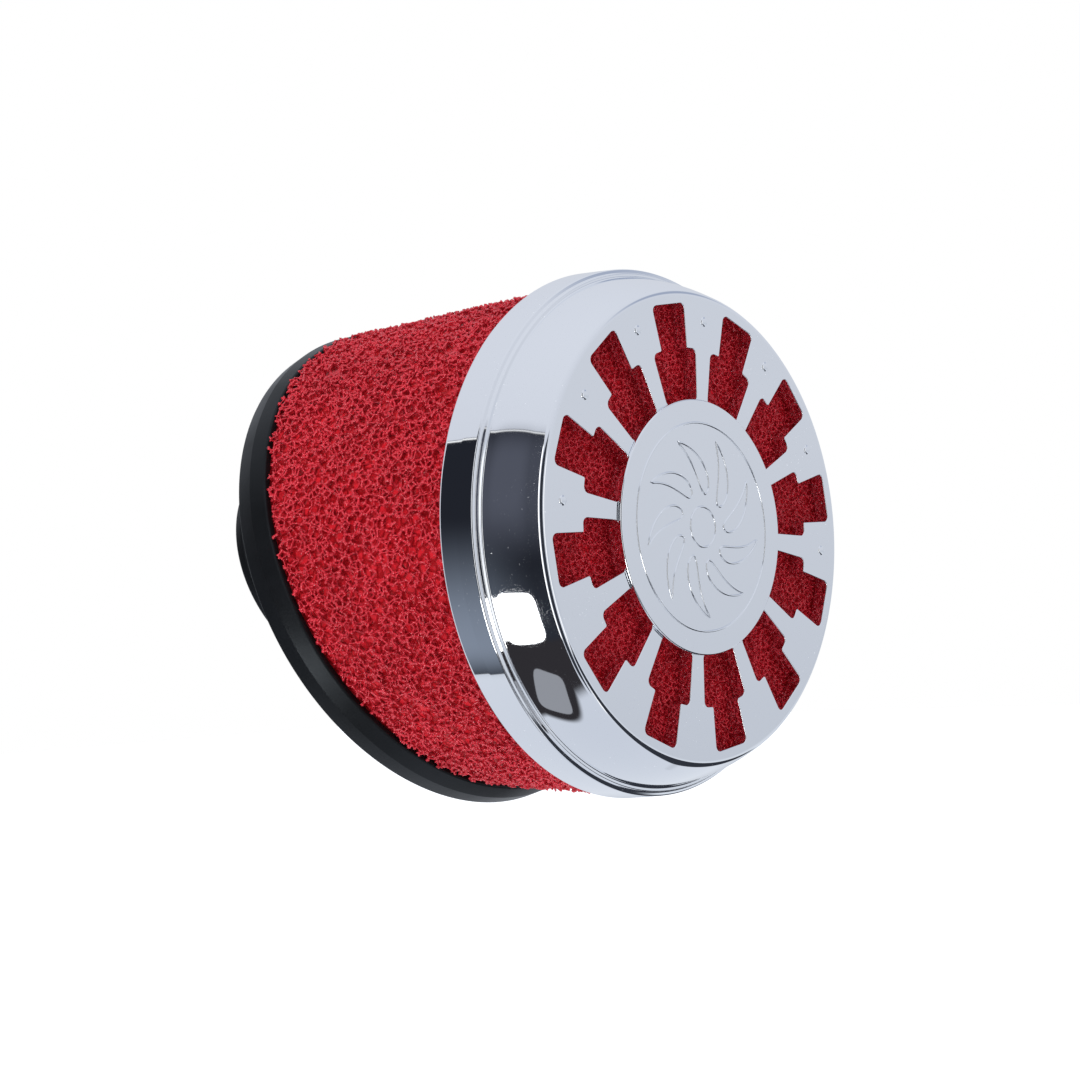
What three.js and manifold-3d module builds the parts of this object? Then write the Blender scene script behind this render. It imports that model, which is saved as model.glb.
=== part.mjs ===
// Clamp-on air filter for a small motorcycle carburettor.
//
// Frame: millimetres, +Z up. The origin is the centre of the neck's mouth, where the filter
// sits on the carburettor. The cap looks along -Y, and its axis runs parallel to Y, slightly
// above the origin. The rubber base is tilted, so the foam is long on top and short below.

import * as THREE from "three";
import { mergeVertices } from "three/addons/utils/BufferGeometryUtils.js";
import Module from "manifold-3d";

const wasm = await Module();
wasm.setup();

// ---------------------------------------------------------------- driving dimensions

const GAP = 0.3;                                    // clearance between touching pieces
const TILT = THREE.MathUtils.degToRad(18);          // rubber base against the cap's face

const RIM_RADIUS = 45.8;                            // rubber rim, outside
const LIP_HEIGHT = 6.2;                             // how far the lip stands over the foam
const LIP_INNER = 43.5;
const FLOOR_Y = -1.2;                               // channel floor, in front of the rim's back edge
const NECK_LENGTH = 27.0;                           // rim's back edge to the neck's mouth
const NECK_OFFSET = 10.9;                           // neck's axis above the rim's centre
const NECK_OUTER = 21.5;
const NECK_BORE = 19;                               // for a 38 mm carburettor mouth
const BEAD_RADIUS = 23;

const FACE_TO_RIM = 62.4;                           // cap face to rim centre, along Y
const CAP_LIFT = 2.86;                              // cap's axis above the rim's centre
const FACE_THICKNESS = 2.6;
const FACE_RADIUS = 40.8;
const EDGE_FILLET = 1.8;
const WALL_REAR = { depth: 8.8, radius: 43.4 };     // where the sloping side wall ends
const SKIRT = { depth: 17.3, radius: 45.5 };        // rolled rear edge of the skirt

const BADGE = { radius: 21.6, height: 1.0, recess: 1.2 };

const SLOT_COUNT = 12;
const SLOT_START = THREE.MathUtils.degToRad(8.4);   // first slot, from +X towards +Z
const SLOT = {
  inner: 21.0,
  step: 30.3,
  outer: 38.0,
  wideHalf: THREE.MathUtils.degToRad(11.1),
  narrowHalf: THREE.MathUtils.degToRad(6.6),
  corner: 1.0,
};

const BOLT = { shank: 2.5, hole: 2.9, head: 4.75, headDepth: 1.6, headHeight: 2.8, end: 20 };
const WELL = { radius: 6.6, depth: 5.7, floor: 2.0 };
const WASHER = { radius: 6.0, thickness: 0.7 };

const FOAM = {
  front: 43.9,                                      // outer radius just behind the skirt
  sag: 0.5,                                         // how far it hangs below the cap's axis there
  back: 44.9,                                       // outer radius just in front of the lip
  split: 36.5,
  inner: 30.4,
  disc: 37.4,
  discFront: 3.2,
  discBack: 8.2,
};
const WIRE = { radius: 1.2, circle: 28.6, depth: 9.8, bend: 6, count: 6 };
const HUB = { radius: 8.2, front: 8.0, back: 17 };

const PLATE = { inner: 26.4, outer: 40.6, thickness: 1.4, screwCircle: 34 };
const PLATE_SCREW = { count: 4, head: 3.0, shank: 1.5, length: 5.0 };

const CLAMP = { width: 9, centre: 17.5, inner: 21.8, thickness: 0.7 };
const TAIL = { width: 8, from: -50, to: 62 };       // degrees round the neck, from +X
const WORM = { radius: 2.9, length: 11.5, axis: 27.0, head: 4.0, headLength: 4.5 };
const HOUSING = { length: 13, wall: 1.0, channel: 5.0 };

const SEGMENTS = 48;                                // sides of the large round pieces
const CAP_SEGMENTS = 60;
const SMALL_SEGMENTS = 16;

// ---------------------------------------------------------------- places worked out from them

const neckAxis = new THREE.Vector3(0, Math.cos(TILT), -Math.sin(TILT));
const rimUp = new THREE.Vector3(0, Math.sin(TILT), Math.cos(TILT));
const rimCentre = new THREE.Vector3()
  .addScaledVector(neckAxis, -NECK_LENGTH)
  .addScaledVector(rimUp, -NECK_OFFSET);
const FACE_Y = rimCentre.y - FACE_TO_RIM;
const AXIS_Z = rimCentre.z + CAP_LIFT;

// Height, in the tilted rim's plane, of the point where the cap's axis meets the plane at `y`.
function axisHeight(y) {
  const along = (y + CAP_LIFT * Math.sin(TILT)) / Math.cos(TILT);
  return along * Math.sin(TILT) + CAP_LIFT * Math.cos(TILT);
}

// ---------------------------------------------------------------- materials

const chrome = () => new THREE.MeshStandardMaterial({ color: 0xd3d8e0, roughness: 0.08, metalness: 1 });
const foamRed = () => new THREE.MeshStandardMaterial({ color: 0xb3121d, roughness: 1, metalness: 0 });
const foamDark = () => new THREE.MeshStandardMaterial({ color: 0x7c0f17, roughness: 1, metalness: 0 });
const rubber = () => new THREE.MeshStandardMaterial({ color: 0x1b1c1f, roughness: 0.55, metalness: 0 });
const steel = () => new THREE.MeshStandardMaterial({ color: 0xa3a6aa, roughness: 0.35, metalness: 1 });

// ---------------------------------------------------------------- shape helpers

function signedVolume(geometry) {
  const position = geometry.getAttribute("position");
  const index = geometry.getIndex();
  const a = new THREE.Vector3();
  const b = new THREE.Vector3();
  const c = new THREE.Vector3();
  let volume = 0;
  for (let i = 0; i < index.count; i += 3) {
    a.fromBufferAttribute(position, index.getX(i));
    b.fromBufferAttribute(position, index.getX(i + 1));
    c.fromBufferAttribute(position, index.getX(i + 2));
    volume += a.dot(b.cross(c)) / 6;
  }
  return volume;
}

// Keeps only merged positions, with every face pointing out.
function closed(geometry) {
  const bare = geometry.index ? geometry.clone() : geometry;
  bare.deleteAttribute("normal");
  bare.deleteAttribute("uv");
  const merged = mergeVertices(bare, 1e-4);
  if (signedVolume(merged) < 0) {
    const index = merged.getIndex();
    for (let i = 0; i < index.count; i += 3) {
      const first = index.getX(i);
      index.setX(i, index.getX(i + 1));
      index.setX(i + 1, first);
    }
  }
  return merged;
}

function toSolid(geometry) {
  const bare = closed(geometry);
  return new wasm.Manifold(new wasm.Mesh({
    numProp: 3,
    vertProperties: new Float32Array(bare.getAttribute("position").array),
    triVerts: new Uint32Array(bare.getIndex().array),
  }));
}

function toGeometry(solid) {
  const { vertProperties, triVerts } = solid.getMesh();
  const geometry = new THREE.BufferGeometry();
  geometry.setAttribute("position", new THREE.BufferAttribute(vertProperties, 3));
  geometry.setIndex(new THREE.BufferAttribute(triVerts, 1));
  return geometry;
}

function cut(body, tools) {
  return toGeometry(tools.reduce((solid, tool) => solid.subtract(toSolid(tool)), toSolid(body)));
}

function join(pieces) {
  return toGeometry(pieces.map(toSolid).reduce((solid, piece) => solid.add(piece)));
}

// A body turned about the Y axis, from a closed outline of [radius, y] points.
function turned(outline, segments = SEGMENTS) {
  const points = outline.map(([radius, y]) => new THREE.Vector2(radius, y));
  const onAxis = outline[0][0] === 0 && outline.at(-1)[0] === 0;
  if (!onAxis) points.push(points[0].clone());
  return closed(new THREE.LatheGeometry(points, segments));
}

function annulus(inner, outer, front, back, segments = SEGMENTS) {
  return turned([[inner, front], [outer, front], [outer, back], [inner, back]], segments);
}

function rod(radius, front, back, segments = SMALL_SEGMENTS) {
  return turned([[0, front], [radius, front], [radius, back], [0, back]], segments);
}

// Points of a round stretch in an outline, from one angle to another, in degrees.
function arc(centreRadius, centreY, radius, from, to, steps) {
  return Array.from({ length: steps + 1 }, (_, i) => {
    const angle = THREE.MathUtils.degToRad(from + ((to - from) * i) / steps);
    return [centreRadius + radius * Math.cos(angle), centreY + radius * Math.sin(angle)];
  });
}

// A tube-like body skinned over rings; the last ring joins the first. Each ring is an ellipse
// centred at (0, y, z), leaning back by `tilt`, with half widths rx across and rz up.
function skinned(rings, segments = SEGMENTS) {
  const positions = [];
  for (const { y, z, tilt, rx, rz } of rings) {
    for (let j = 0; j < segments; j += 1) {
      const angle = (2 * Math.PI * j) / segments;
      const up = rz * Math.sin(angle);
      positions.push(rx * Math.cos(angle), y + up * Math.sin(tilt), z + up * Math.cos(tilt));
    }
  }
  const faces = [];
  for (let i = 0; i < rings.length; i += 1) {
    const next = (i + 1) % rings.length;
    for (let j = 0; j < segments; j += 1) {
      const turn = (j + 1) % segments;
      const [a, b] = [i * segments + j, i * segments + turn];
      const [c, d] = [next * segments + j, next * segments + turn];
      faces.push(a, b, c, b, d, c);
    }
  }
  const geometry = new THREE.BufferGeometry();
  geometry.setAttribute("position", new THREE.Float32BufferAttribute(positions, 3));
  geometry.setIndex(faces);
  return closed(geometry);
}

// Ring square to the cap's axis, `depth` behind the cap's face.
function squareRing(depth, radius, sag = 0) {
  return { y: FACE_Y + depth, z: AXIS_Z - sag, tilt: 0, rx: radius, rz: radius };
}

// Ring in the base's tilted plane: `y` behind the rim's back edge, `up` above the rim's centre.
function tiltedRing(y, radius, up = 0, rz = radius) {
  const centre = rimCentre.clone().addScaledVector(neckAxis, y).addScaledVector(rimUp, up);
  return { y: centre.y, z: centre.z, tilt: TILT, rx: radius, rz };
}

// Where a cylinder about the cap's axis meets the base's tilted plane at `y`.
function slantedCut(y, radius) {
  return tiltedRing(y, radius, axisHeight(y), radius / Math.cos(TILT));
}

function between(first, last, share) {
  const ring = {};
  for (const key of Object.keys(first)) ring[key] = THREE.MathUtils.lerp(first[key], last[key], share);
  return ring;
}

const air_filter = new THREE.Group();
air_filter.name = "air_filter";

// Pieces turned about the cap's axis sit in this group, with y = 0 at the cap's face.
const capFrame = new THREE.Group();
capFrame.position.set(0, FACE_Y, AXIS_Z);

// Pieces of the tilted base sit in this group: y runs back along the neck from the rim's
// back edge, z runs up in the rim's plane.
const baseFrame = new THREE.Group();
baseFrame.position.copy(rimCentre);
baseFrame.rotation.x = -TILT;

// Pieces on the neck sit in this group, whose y axis is the neck's own axis.
const neckFrame = new THREE.Group();
neckFrame.position.z = NECK_OFFSET;
baseFrame.add(neckFrame);
air_filter.add(capFrame, baseFrame);

function piece(name, geometry, material, parent = air_filter) {
  const mesh = new THREE.Mesh(geometry, material);
  mesh.name = name;
  parent.add(mesh);
  return mesh;
}

// ---------------------------------------------------------------- cap

// One stepped slot through the cap's face: a wide inner part and a narrow outer part.
function slotTool(angle) {
  const corner = (radius, turn) => new THREE.Vector2(
    radius * Math.cos(angle + turn),
    radius * Math.sin(angle + turn),
  );
  const corners = [
    corner(SLOT.inner, -SLOT.wideHalf),
    corner(SLOT.step, -SLOT.wideHalf),
    corner(SLOT.step, -SLOT.narrowHalf),
    corner(SLOT.outer, -SLOT.narrowHalf),
    corner(SLOT.outer, SLOT.narrowHalf),
    corner(SLOT.step, SLOT.narrowHalf),
    corner(SLOT.step, SLOT.wideHalf),
    corner(SLOT.inner, SLOT.wideHalf),
  ];
  const outline = new THREE.Shape();
  corners.forEach((point, i) => {
    const before = corners.at(i - 1);
    const after = corners[(i + 1) % corners.length];
    const entry = point.clone().add(before.clone().sub(point).setLength(SLOT.corner));
    const exit = point.clone().add(after.clone().sub(point).setLength(SLOT.corner));
    if (i === 0) outline.moveTo(entry.x, entry.y);
    else outline.lineTo(entry.x, entry.y);
    outline.quadraticCurveTo(point.x, point.y, exit.x, exit.y);
  });
  outline.closePath();
  const tool = new THREE.ExtrudeGeometry(outline, {
    depth: FACE_THICKNESS + 2,
    bevelEnabled: false,
    curveSegments: 2,
  });
  tool.translate(0, 0, -1);
  tool.rotateX(Math.PI / 2);            // the outline's plane turns into the cap's face
  tool.scale(1, -1, 1);                 // the tool cuts backwards, from in front of the face
  return tool;
}

function capShell() {
  const inside = [
    [SKIRT.radius - 1.6, SKIRT.depth],
    [43.8, 13.2],
    [43.6, 11.0],
    [41.8, 10.4],
    [41.6, WALL_REAR.depth],
    [39.2, 3.4],
    [38.4, FACE_THICKNESS],
    [WELL.radius + 2, FACE_THICKNESS],
    [WELL.radius + 2, WELL.depth + WELL.floor],
    [BOLT.hole, WELL.depth + WELL.floor],
  ];
  const outside = [
    [BOLT.hole, WELL.depth],
    [WELL.radius, WELL.depth],
    [WELL.radius, BADGE.recess],
    [BADGE.radius + GAP, BADGE.recess],
    [BADGE.radius + GAP, 0],
    ...arc(FACE_RADIUS - EDGE_FILLET, EDGE_FILLET, EDGE_FILLET, -90, -8, 3),
    [WALL_REAR.radius, WALL_REAR.depth],
    [44.0, 9.2],
    [44.9, 10.2],
    [45.2, 11.0],
    [44.9, 13.2],
    [45.1, 15.8],
    ...arc(SKIRT.radius - 0.5, SKIRT.depth - 0.5, 0.5, -45, 90, 2),
  ];
  const body = turned([...outside, ...inside], CAP_SEGMENTS);
  const slots = Array.from({ length: SLOT_COUNT }, (_, i) =>
    slotTool(SLOT_START + (2 * Math.PI * i) / SLOT_COUNT));
  return cut(body, slots);
}

function capBadge() {
  return turned([
    [0, -BADGE.height],
    [BADGE.radius - 0.4, -BADGE.height],
    [BADGE.radius, -BADGE.height + 0.4],
    [BADGE.radius, BADGE.recess - GAP],
    [0, BADGE.recess - GAP],
  ]);
}

function capBolt() {
  const body = turned([
    [0, BOLT.headDepth],
    [BOLT.head - 1, BOLT.headDepth],
    [BOLT.head, BOLT.headDepth + 1],
    [BOLT.head, BOLT.headDepth + BOLT.headHeight],
    [BOLT.shank, BOLT.headDepth + BOLT.headHeight],
    [BOLT.shank, BOLT.end - 1],
    [BOLT.shank - 0.8, BOLT.end],
    [0, BOLT.end],
  ], SMALL_SEGMENTS);
  const socket = rod(1.7, BOLT.headDepth - 1, BOLT.headDepth + 1.6, 6);
  return cut(body, [socket]);
}

const washerFront = WELL.depth - GAP - WASHER.thickness;

piece("cap_shell", capShell(), chrome(), capFrame);
piece("cap_badge", capBadge(), chrome(), capFrame);
piece("cap_bolt", capBolt(), steel(), capFrame);
piece(
  "cap_washer",
  annulus(BOLT.hole, WASHER.radius, washerFront, washerFront + WASHER.thickness, SMALL_SEGMENTS),
  steel(),
  capFrame,
);

// ---------------------------------------------------------------- foam

// The coarse outer sleeve: held in by the skirt in front and by the rubber lip behind.
function outerSleeve() {
  const seat = FLOOR_Y - PLATE.thickness - 2 * GAP;
  const swellFront = squareRing(SKIRT.depth + 1.2, FOAM.front, FOAM.sag);
  const swellBack = tiltedRing(-LIP_HEIGHT - 1.4, FOAM.back);
  return skinned([
    squareRing(WALL_REAR.depth + 2.6, 43.1),
    squareRing(SKIRT.depth - 0.4, 43.4),
    swellFront,
    between(swellFront, swellBack, 1 / 3),
    between(swellFront, swellBack, 2 / 3),
    swellBack,
    tiltedRing(-LIP_HEIGHT - GAP, LIP_INNER - GAP),
    tiltedRing(seat, LIP_INNER - GAP),
    slantedCut(seat, FOAM.split + GAP),
    squareRing(WALL_REAR.depth + 2.6, FOAM.split + GAP),
  ]);
}

function innerSleeve() {
  const seat = FLOOR_Y - PLATE.thickness - 2 * GAP;
  const front = FOAM.discBack + 1;
  return skinned([
    squareRing(front, FOAM.split),
    slantedCut(seat, FOAM.split),
    slantedCut(seat, FOAM.inner),
    squareRing(front, FOAM.inner),
  ]);
}

piece("foam_outer_sleeve", outerSleeve(), foamRed());
piece("foam_inner_sleeve", innerSleeve(), foamDark());
piece(
  "foam_front_disc",
  annulus(WELL.radius + 2 + GAP, FOAM.disc, FOAM.discFront, FOAM.discBack),
  foamRed(),
  capFrame,
);

// ---------------------------------------------------------------- wire cage inside the foam

function hoop(circle, stretch = 1) {
  const outline = arc(circle, 0, WIRE.radius, 0, 300, 5);
  return turned(outline, 30).scale(1, 1, stretch);
}

// A wire leaves the hub, bends back at the cage's circle and ends just short of the base plate.
function cageWire(angle) {
  const out = new THREE.Vector3(Math.cos(angle), 0, Math.sin(angle));
  const at = (radius, depth) => out.clone().multiplyScalar(radius).setY(depth);
  const plateFront = FLOOR_Y - PLATE.thickness - GAP;
  const end = slantedCut(plateFront, WIRE.circle);
  const height = (end.z - AXIS_Z) + end.rz * Math.sin(angle) * Math.cos(TILT);
  const endDepth = end.y - FACE_Y + end.rz * Math.sin(angle) * Math.sin(TILT);
  const stop = endDepth - GAP - WIRE.radius * Math.tan(TILT) - Math.abs(height - WIRE.circle * Math.sin(angle));
  const route = new THREE.CurvePath();
  route.add(new THREE.LineCurve3(at(HUB.radius + GAP, WIRE.depth), at(WIRE.circle - WIRE.bend, WIRE.depth)));
  route.add(new THREE.QuadraticBezierCurve3(
    at(WIRE.circle - WIRE.bend, WIRE.depth),
    at(WIRE.circle, WIRE.depth),
    at(WIRE.circle, WIRE.depth + WIRE.bend),
  ));
  route.add(new THREE.LineCurve3(at(WIRE.circle, WIRE.depth + WIRE.bend), at(WIRE.circle, stop)));
  const section = new THREE.Shape().absarc(0, 0, WIRE.radius, 0, 2 * Math.PI);
  return closed(new THREE.ExtrudeGeometry(section, {
    steps: 14,
    curveSegments: 3,
    extrudePath: route,
  }));
}

const hoopCircle = WIRE.circle - 2 * WIRE.radius - GAP;

piece("cage_hub", annulus(BOLT.hole, HUB.radius, HUB.front, HUB.back, 24), steel(), capFrame);
for (let i = 0; i < WIRE.count; i += 1) {
  const angle = (2 * Math.PI * (i + 0.5)) / WIRE.count;
  piece(`cage_wire_${i + 1}`, cageWire(angle), steel(), capFrame);
}
piece("cage_front_hoop", hoop(hoopCircle), steel(), capFrame).position.y = 18;
piece("cage_middle_hoop", hoop(hoopCircle), steel(), capFrame).position.y = 32;
const rearHoop = piece("cage_rear_hoop", hoop(hoopCircle, 1 / Math.cos(TILT)), steel(), baseFrame);
rearHoop.position.set(0, -10, axisHeight(-10));

// ---------------------------------------------------------------- rubber base

function screwPlaces() {
  return Array.from({ length: PLATE_SCREW.count }, (_, i) => {
    const angle = (2 * Math.PI * (i + 0.5)) / PLATE_SCREW.count;
    return new THREE.Vector3(
      PLATE.screwCircle * Math.cos(angle),
      0,
      axisHeight(FLOOR_Y) + PLATE.screwCircle * Math.sin(angle),
    );
  });
}

function rubberBase() {
  const outside = [
    [-LIP_HEIGHT, 45.0, 0],
    [-3.2, 45.9, 0],
    [0, RIM_RADIUS, 0],
    [2.2, 43.0, 0.2],
    [4.5, 38.5, 1.6],
    [7.0, 30.5, 6.2],
    [9.2, 24.0, 10.0],
    [10.9, NECK_OUTER, NECK_OFFSET],
    [23.8, NECK_OUTER, NECK_OFFSET],
    [24.6, BEAD_RADIUS - 0.3, NECK_OFFSET],
    [25.6, BEAD_RADIUS, NECK_OFFSET],
    [NECK_LENGTH - 0.4, BEAD_RADIUS - 0.6, NECK_OFFSET],
    [NECK_LENGTH, BEAD_RADIUS - 1.2, NECK_OFFSET],
  ];
  const inside = [
    [NECK_LENGTH, NECK_BORE, NECK_OFFSET],
    [10.0, NECK_BORE, NECK_OFFSET],
    [7.5, 19.8, 10.3],
    [4.0, 22.4, 7.6],
    [1.2, 24.8, 4.6],
    [FLOOR_Y, 25.6, 3.6],
    [FLOOR_Y, LIP_INNER, 0],
    [-LIP_HEIGHT, LIP_INNER + 0.2, 0],
  ];
  const rings = [...outside, ...inside].map(([y, radius, z]) => (
    { y, z, tilt: 0, rx: radius, rz: radius }
  ));
  const holes = screwPlaces().map((place) =>
    rod(PLATE_SCREW.shank + GAP, FLOOR_Y - 1, FLOOR_Y + PLATE_SCREW.length - 1, 8)
      .translate(place.x, place.y, place.z));
  return cut(skinned(rings), holes);
}

const plateBack = FLOOR_Y - GAP;
const plateFront = plateBack - PLATE.thickness;

// The countersunk screws lie flush with the plate's front.
function basePlate() {
  const body = annulus(PLATE.inner, PLATE.outer, plateFront, plateBack)
    .translate(0, 0, axisHeight(FLOOR_Y));
  const countersinks = screwPlaces().map((place) => turned([
    [0, plateFront - 1],
    [PLATE_SCREW.head + GAP + 1, plateFront - 1],
    [PLATE_SCREW.shank + GAP, plateFront + PLATE.thickness - 0.1],
    [PLATE_SCREW.shank + GAP, plateBack + 1],
    [0, plateBack + 1],
  ], 12).translate(place.x, place.y, place.z));
  return cut(body, countersinks);
}

function plateScrew() {
  const body = turned([
    [0, 0],
    [PLATE_SCREW.head - 0.2, 0],
    [PLATE_SCREW.shank, PLATE.thickness],
    [PLATE_SCREW.shank, PLATE_SCREW.length - 0.4],
    [0, PLATE_SCREW.length],
  ], 12);
  const driveSlot = new THREE.BoxGeometry(3.4, 1.2, 0.8);
  return cut(body, [driveSlot]);
}

piece("base_rubber", rubberBase(), rubber(), baseFrame);
piece("base_plate", basePlate(), steel(), baseFrame);
screwPlaces().forEach((place, i) => {
  const screw = piece(`base_screw_${i + 1}`, plateScrew(), steel(), baseFrame);
  screw.position.set(place.x, plateFront, place.z);
});

// ---------------------------------------------------------------- hose clamp on the neck

// A strip bent round the neck's axis, from one angle to another in degrees, from +X towards +Z.
function bentStrip(inner, outer, width, from, to, steps) {
  const outline = new THREE.Shape();
  const a = THREE.MathUtils.degToRad(from);
  const b = THREE.MathUtils.degToRad(to);
  outline.absarc(0, 0, outer, a, b, false);
  outline.lineTo(inner * Math.cos(b), inner * Math.sin(b));
  outline.absarc(0, 0, inner, b, a, true);
  outline.closePath();
  const strip = new THREE.ExtrudeGeometry(outline, {
    depth: width,
    bevelEnabled: false,
    curveSegments: steps,
  });
  return closed(strip.translate(0, 0, -width / 2).rotateX(Math.PI / 2));
}

// The arched housing over the worm screw: straight walls beside the band, round on top.
function clampHousing() {
  const { wall, channel, length } = HOUSING;
  const arch = WORM.radius + 2 * GAP;
  const foot = CLAMP.inner + 0.2;
  const knee = CLAMP.inner + 2 * CLAMP.thickness + 4 * GAP;
  const outline = new THREE.Shape();
  outline.moveTo(foot, -channel - wall);
  outline.lineTo(knee + wall, -channel - wall);
  outline.absarc(WORM.axis, 0, arch + wall, -Math.PI / 2, Math.PI / 2, false);
  outline.lineTo(knee + wall, channel + wall);
  outline.lineTo(foot, channel + wall);
  outline.lineTo(foot, channel);
  outline.lineTo(knee, channel);
  outline.lineTo(knee, arch);
  outline.absarc(WORM.axis, 0, arch, Math.PI / 2, -Math.PI / 2, true);
  outline.lineTo(knee, -arch);
  outline.lineTo(knee, -channel);
  outline.lineTo(foot, -channel);
  outline.closePath();
  const body = new THREE.ExtrudeGeometry(outline, {
    depth: length,
    bevelEnabled: false,
    curveSegments: 8,
  });
  return closed(body.translate(0, 0, -length / 2));
}

function clampScrew() {
  const worm = new THREE.CylinderGeometry(WORM.radius, WORM.radius, WORM.length, SMALL_SEGMENTS);
  const neck = new THREE.CylinderGeometry(2, 2, 2, SMALL_SEGMENTS);
  neck.translate(0, WORM.length / 2 + 0.5, 0);
  const head = new THREE.CylinderGeometry(WORM.head, WORM.head, WORM.headLength, 6);
  head.translate(0, WORM.length / 2 + 1.2 + WORM.headLength / 2, 0);
  const driveSlot = new THREE.BoxGeometry(WORM.head * 2, 1.6, 1.1);
  driveSlot.translate(0, WORM.length / 2 + 1.2 + WORM.headLength, 0);
  const screw = cut(join([worm, neck, head]), [driveSlot]);
  return screw.rotateX(Math.PI / 2).translate(WORM.axis, 0, 0);
}

const tailInner = CLAMP.inner + CLAMP.thickness + GAP;
const clampPieces = [
  piece("clamp_band",
    annulus(CLAMP.inner, CLAMP.inner + CLAMP.thickness, -CLAMP.width / 2, CLAMP.width / 2, 48),
    steel(), neckFrame),
  piece("clamp_tail",
    bentStrip(tailInner, tailInner + CLAMP.thickness, TAIL.width, TAIL.from, TAIL.to, 14),
    steel(), neckFrame),
  piece("clamp_housing", clampHousing(), steel(), neckFrame),
  piece("clamp_screw", clampScrew(), steel(), neckFrame),
];
for (const mesh of clampPieces) mesh.position.y = CLAMP.centre;

export default air_filter;
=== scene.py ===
"""Looks of a clamp-on motorcycle air filter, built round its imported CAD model.

Frame: metres, +Z up, origin at the neck's mouth. The cap looks along -Y. Lengths below are in
millimetres, and make_piece() turns them into metres.
"""

import itertools
import math

import bmesh
import bpy
import numpy as np
from mathutils import Matrix, Vector, geometry


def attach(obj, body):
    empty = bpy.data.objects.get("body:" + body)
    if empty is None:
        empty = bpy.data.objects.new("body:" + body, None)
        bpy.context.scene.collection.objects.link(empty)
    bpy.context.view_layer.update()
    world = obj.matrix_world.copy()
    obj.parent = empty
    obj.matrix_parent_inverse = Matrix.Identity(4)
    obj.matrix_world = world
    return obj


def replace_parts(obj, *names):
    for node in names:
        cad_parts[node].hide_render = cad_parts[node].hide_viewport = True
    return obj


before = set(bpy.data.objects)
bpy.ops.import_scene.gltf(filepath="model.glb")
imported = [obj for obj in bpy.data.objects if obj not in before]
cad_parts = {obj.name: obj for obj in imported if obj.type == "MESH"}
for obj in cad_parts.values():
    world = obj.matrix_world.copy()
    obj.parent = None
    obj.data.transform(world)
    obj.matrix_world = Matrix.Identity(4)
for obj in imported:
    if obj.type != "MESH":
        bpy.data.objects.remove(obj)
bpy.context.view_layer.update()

# ---------------------------------------------------------------- dimensions of the part

MM = 0.001
TILT = math.radians(18)            # rubber base against the cap's face
SIN_TILT, COS_TILT = math.sin(TILT), math.cos(TILT)

NECK_LENGTH = 27.0
NECK_OFFSET = 10.9                 # neck's axis above the rim's centre, in the tilted plane
NECK_OUTER = 21.5
NECK_BORE = 19.0
BEAD_RADIUS = 23.0
RIM_RADIUS = 45.8
LIP_HEIGHT = 6.2
LIP_INNER = 43.5
FLOOR_Y = -1.2
FOAM_SEAT = FLOOR_Y - 1.4 - 0.6    # the sleeves' back ends, clear of the base plate

RIM_CENTRE = np.array([
    0.0,
    -NECK_LENGTH * COS_TILT - NECK_OFFSET * SIN_TILT,
    NECK_LENGTH * SIN_TILT - NECK_OFFSET * COS_TILT,
])
FACE_Y = RIM_CENTRE[1] - 62.4      # the cap's front face
AXIS_ABOVE_RIM = 2.86
AXIS_Z = RIM_CENTRE[2] + AXIS_ABOVE_RIM

FACE_THICKNESS = 2.6
FACE_RADIUS = 40.8
EDGE_FILLET = 1.8
SKIRT_DEPTH = 17.3
SKIRT_RADIUS = 45.5
RECESS_RADIUS = 20.7               # seat of the badge
RECESS_DEPTH = 1.2
WELL_RADIUS = 6.6
WELL_DEPTH = 5.7
WELL_FLOOR = 2.0
BOLT_HOLE = 2.9

BADGE_RADIUS = 21.6
BADGE_HEIGHT = 0.6
BLADE_COUNT, BLADE_FROM, BLADE_LENGTH = 9, 5.6, 9.6

SLOT_COUNT = 12
SLOT_START = math.radians(8.4)
SLOT_INNER, SLOT_STEP, SLOT_OUTER = 21.3, 30.3, 38.0
SLOT_WIDE, SLOT_NARROW = math.radians(11.1), math.radians(6.6)
SLOT_CORNER = 1.0
STEP_CORNER = 0.35
RIM_ROUNDING = 0.14                # rounded edges of the slots
PIP_COUNT, PIP_CIRCLE, PIP_START = 7, 35.3, -6.6
PIP_RADIUS, PIP_HEIGHT = 0.85, 0.3

SLEEVE_FRONT, SLEEVE_SAG, SLEEVE_BACK = 43.9, 0.5, 44.9
DISC_FRONT, DISC_BACK = 3.2, 8.2
SPLIT_RADIUS = 36.5

CLAMP_CENTRE, CLAMP_WIDTH, CLAMP_INNER, CLAMP_THICKNESS = 17.5, 9.0, 21.8, 0.7
TAIL_WIDTH, TAIL_FROM, TAIL_TO = 8.0, -50.0, 62.0
WORM_RADIUS, WORM_LENGTH, WORM_AXIS = 2.9, 11.5, 27.0
WORM_PITCH = 1.5
SCREW_HEAD, SCREW_HEAD_LENGTH, FLANGE = 4.0, 4.5, 0.7
HEXAGON, DRIVER_SLOT = 3.3, 1.5    # half the width across flats, width of the slot

rng = np.random.default_rng(7)

# ---------------------------------------------------------------- frames of the sub-assemblies


def cap_frame(points):
    """Points about the cap's axis, y = 0 at its face, moved into the part's frame."""
    return np.asarray(points, float) + np.array([0, FACE_Y, AXIS_Z])


def base_frame(points):
    """Points about the rim's centre: y back along the neck, z up in the rim's plane."""
    x, y, z = np.asarray(points, float).T
    return RIM_CENTRE + np.stack([
        x,
        y * COS_TILT + z * SIN_TILT,
        -y * SIN_TILT + z * COS_TILT,
    ], 1)


def neck_frame(points):
    """Points about the neck's axis, y = 0 at the rim's back edge."""
    return base_frame(np.asarray(points, float) + np.array([0, 0, NECK_OFFSET]))


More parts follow.
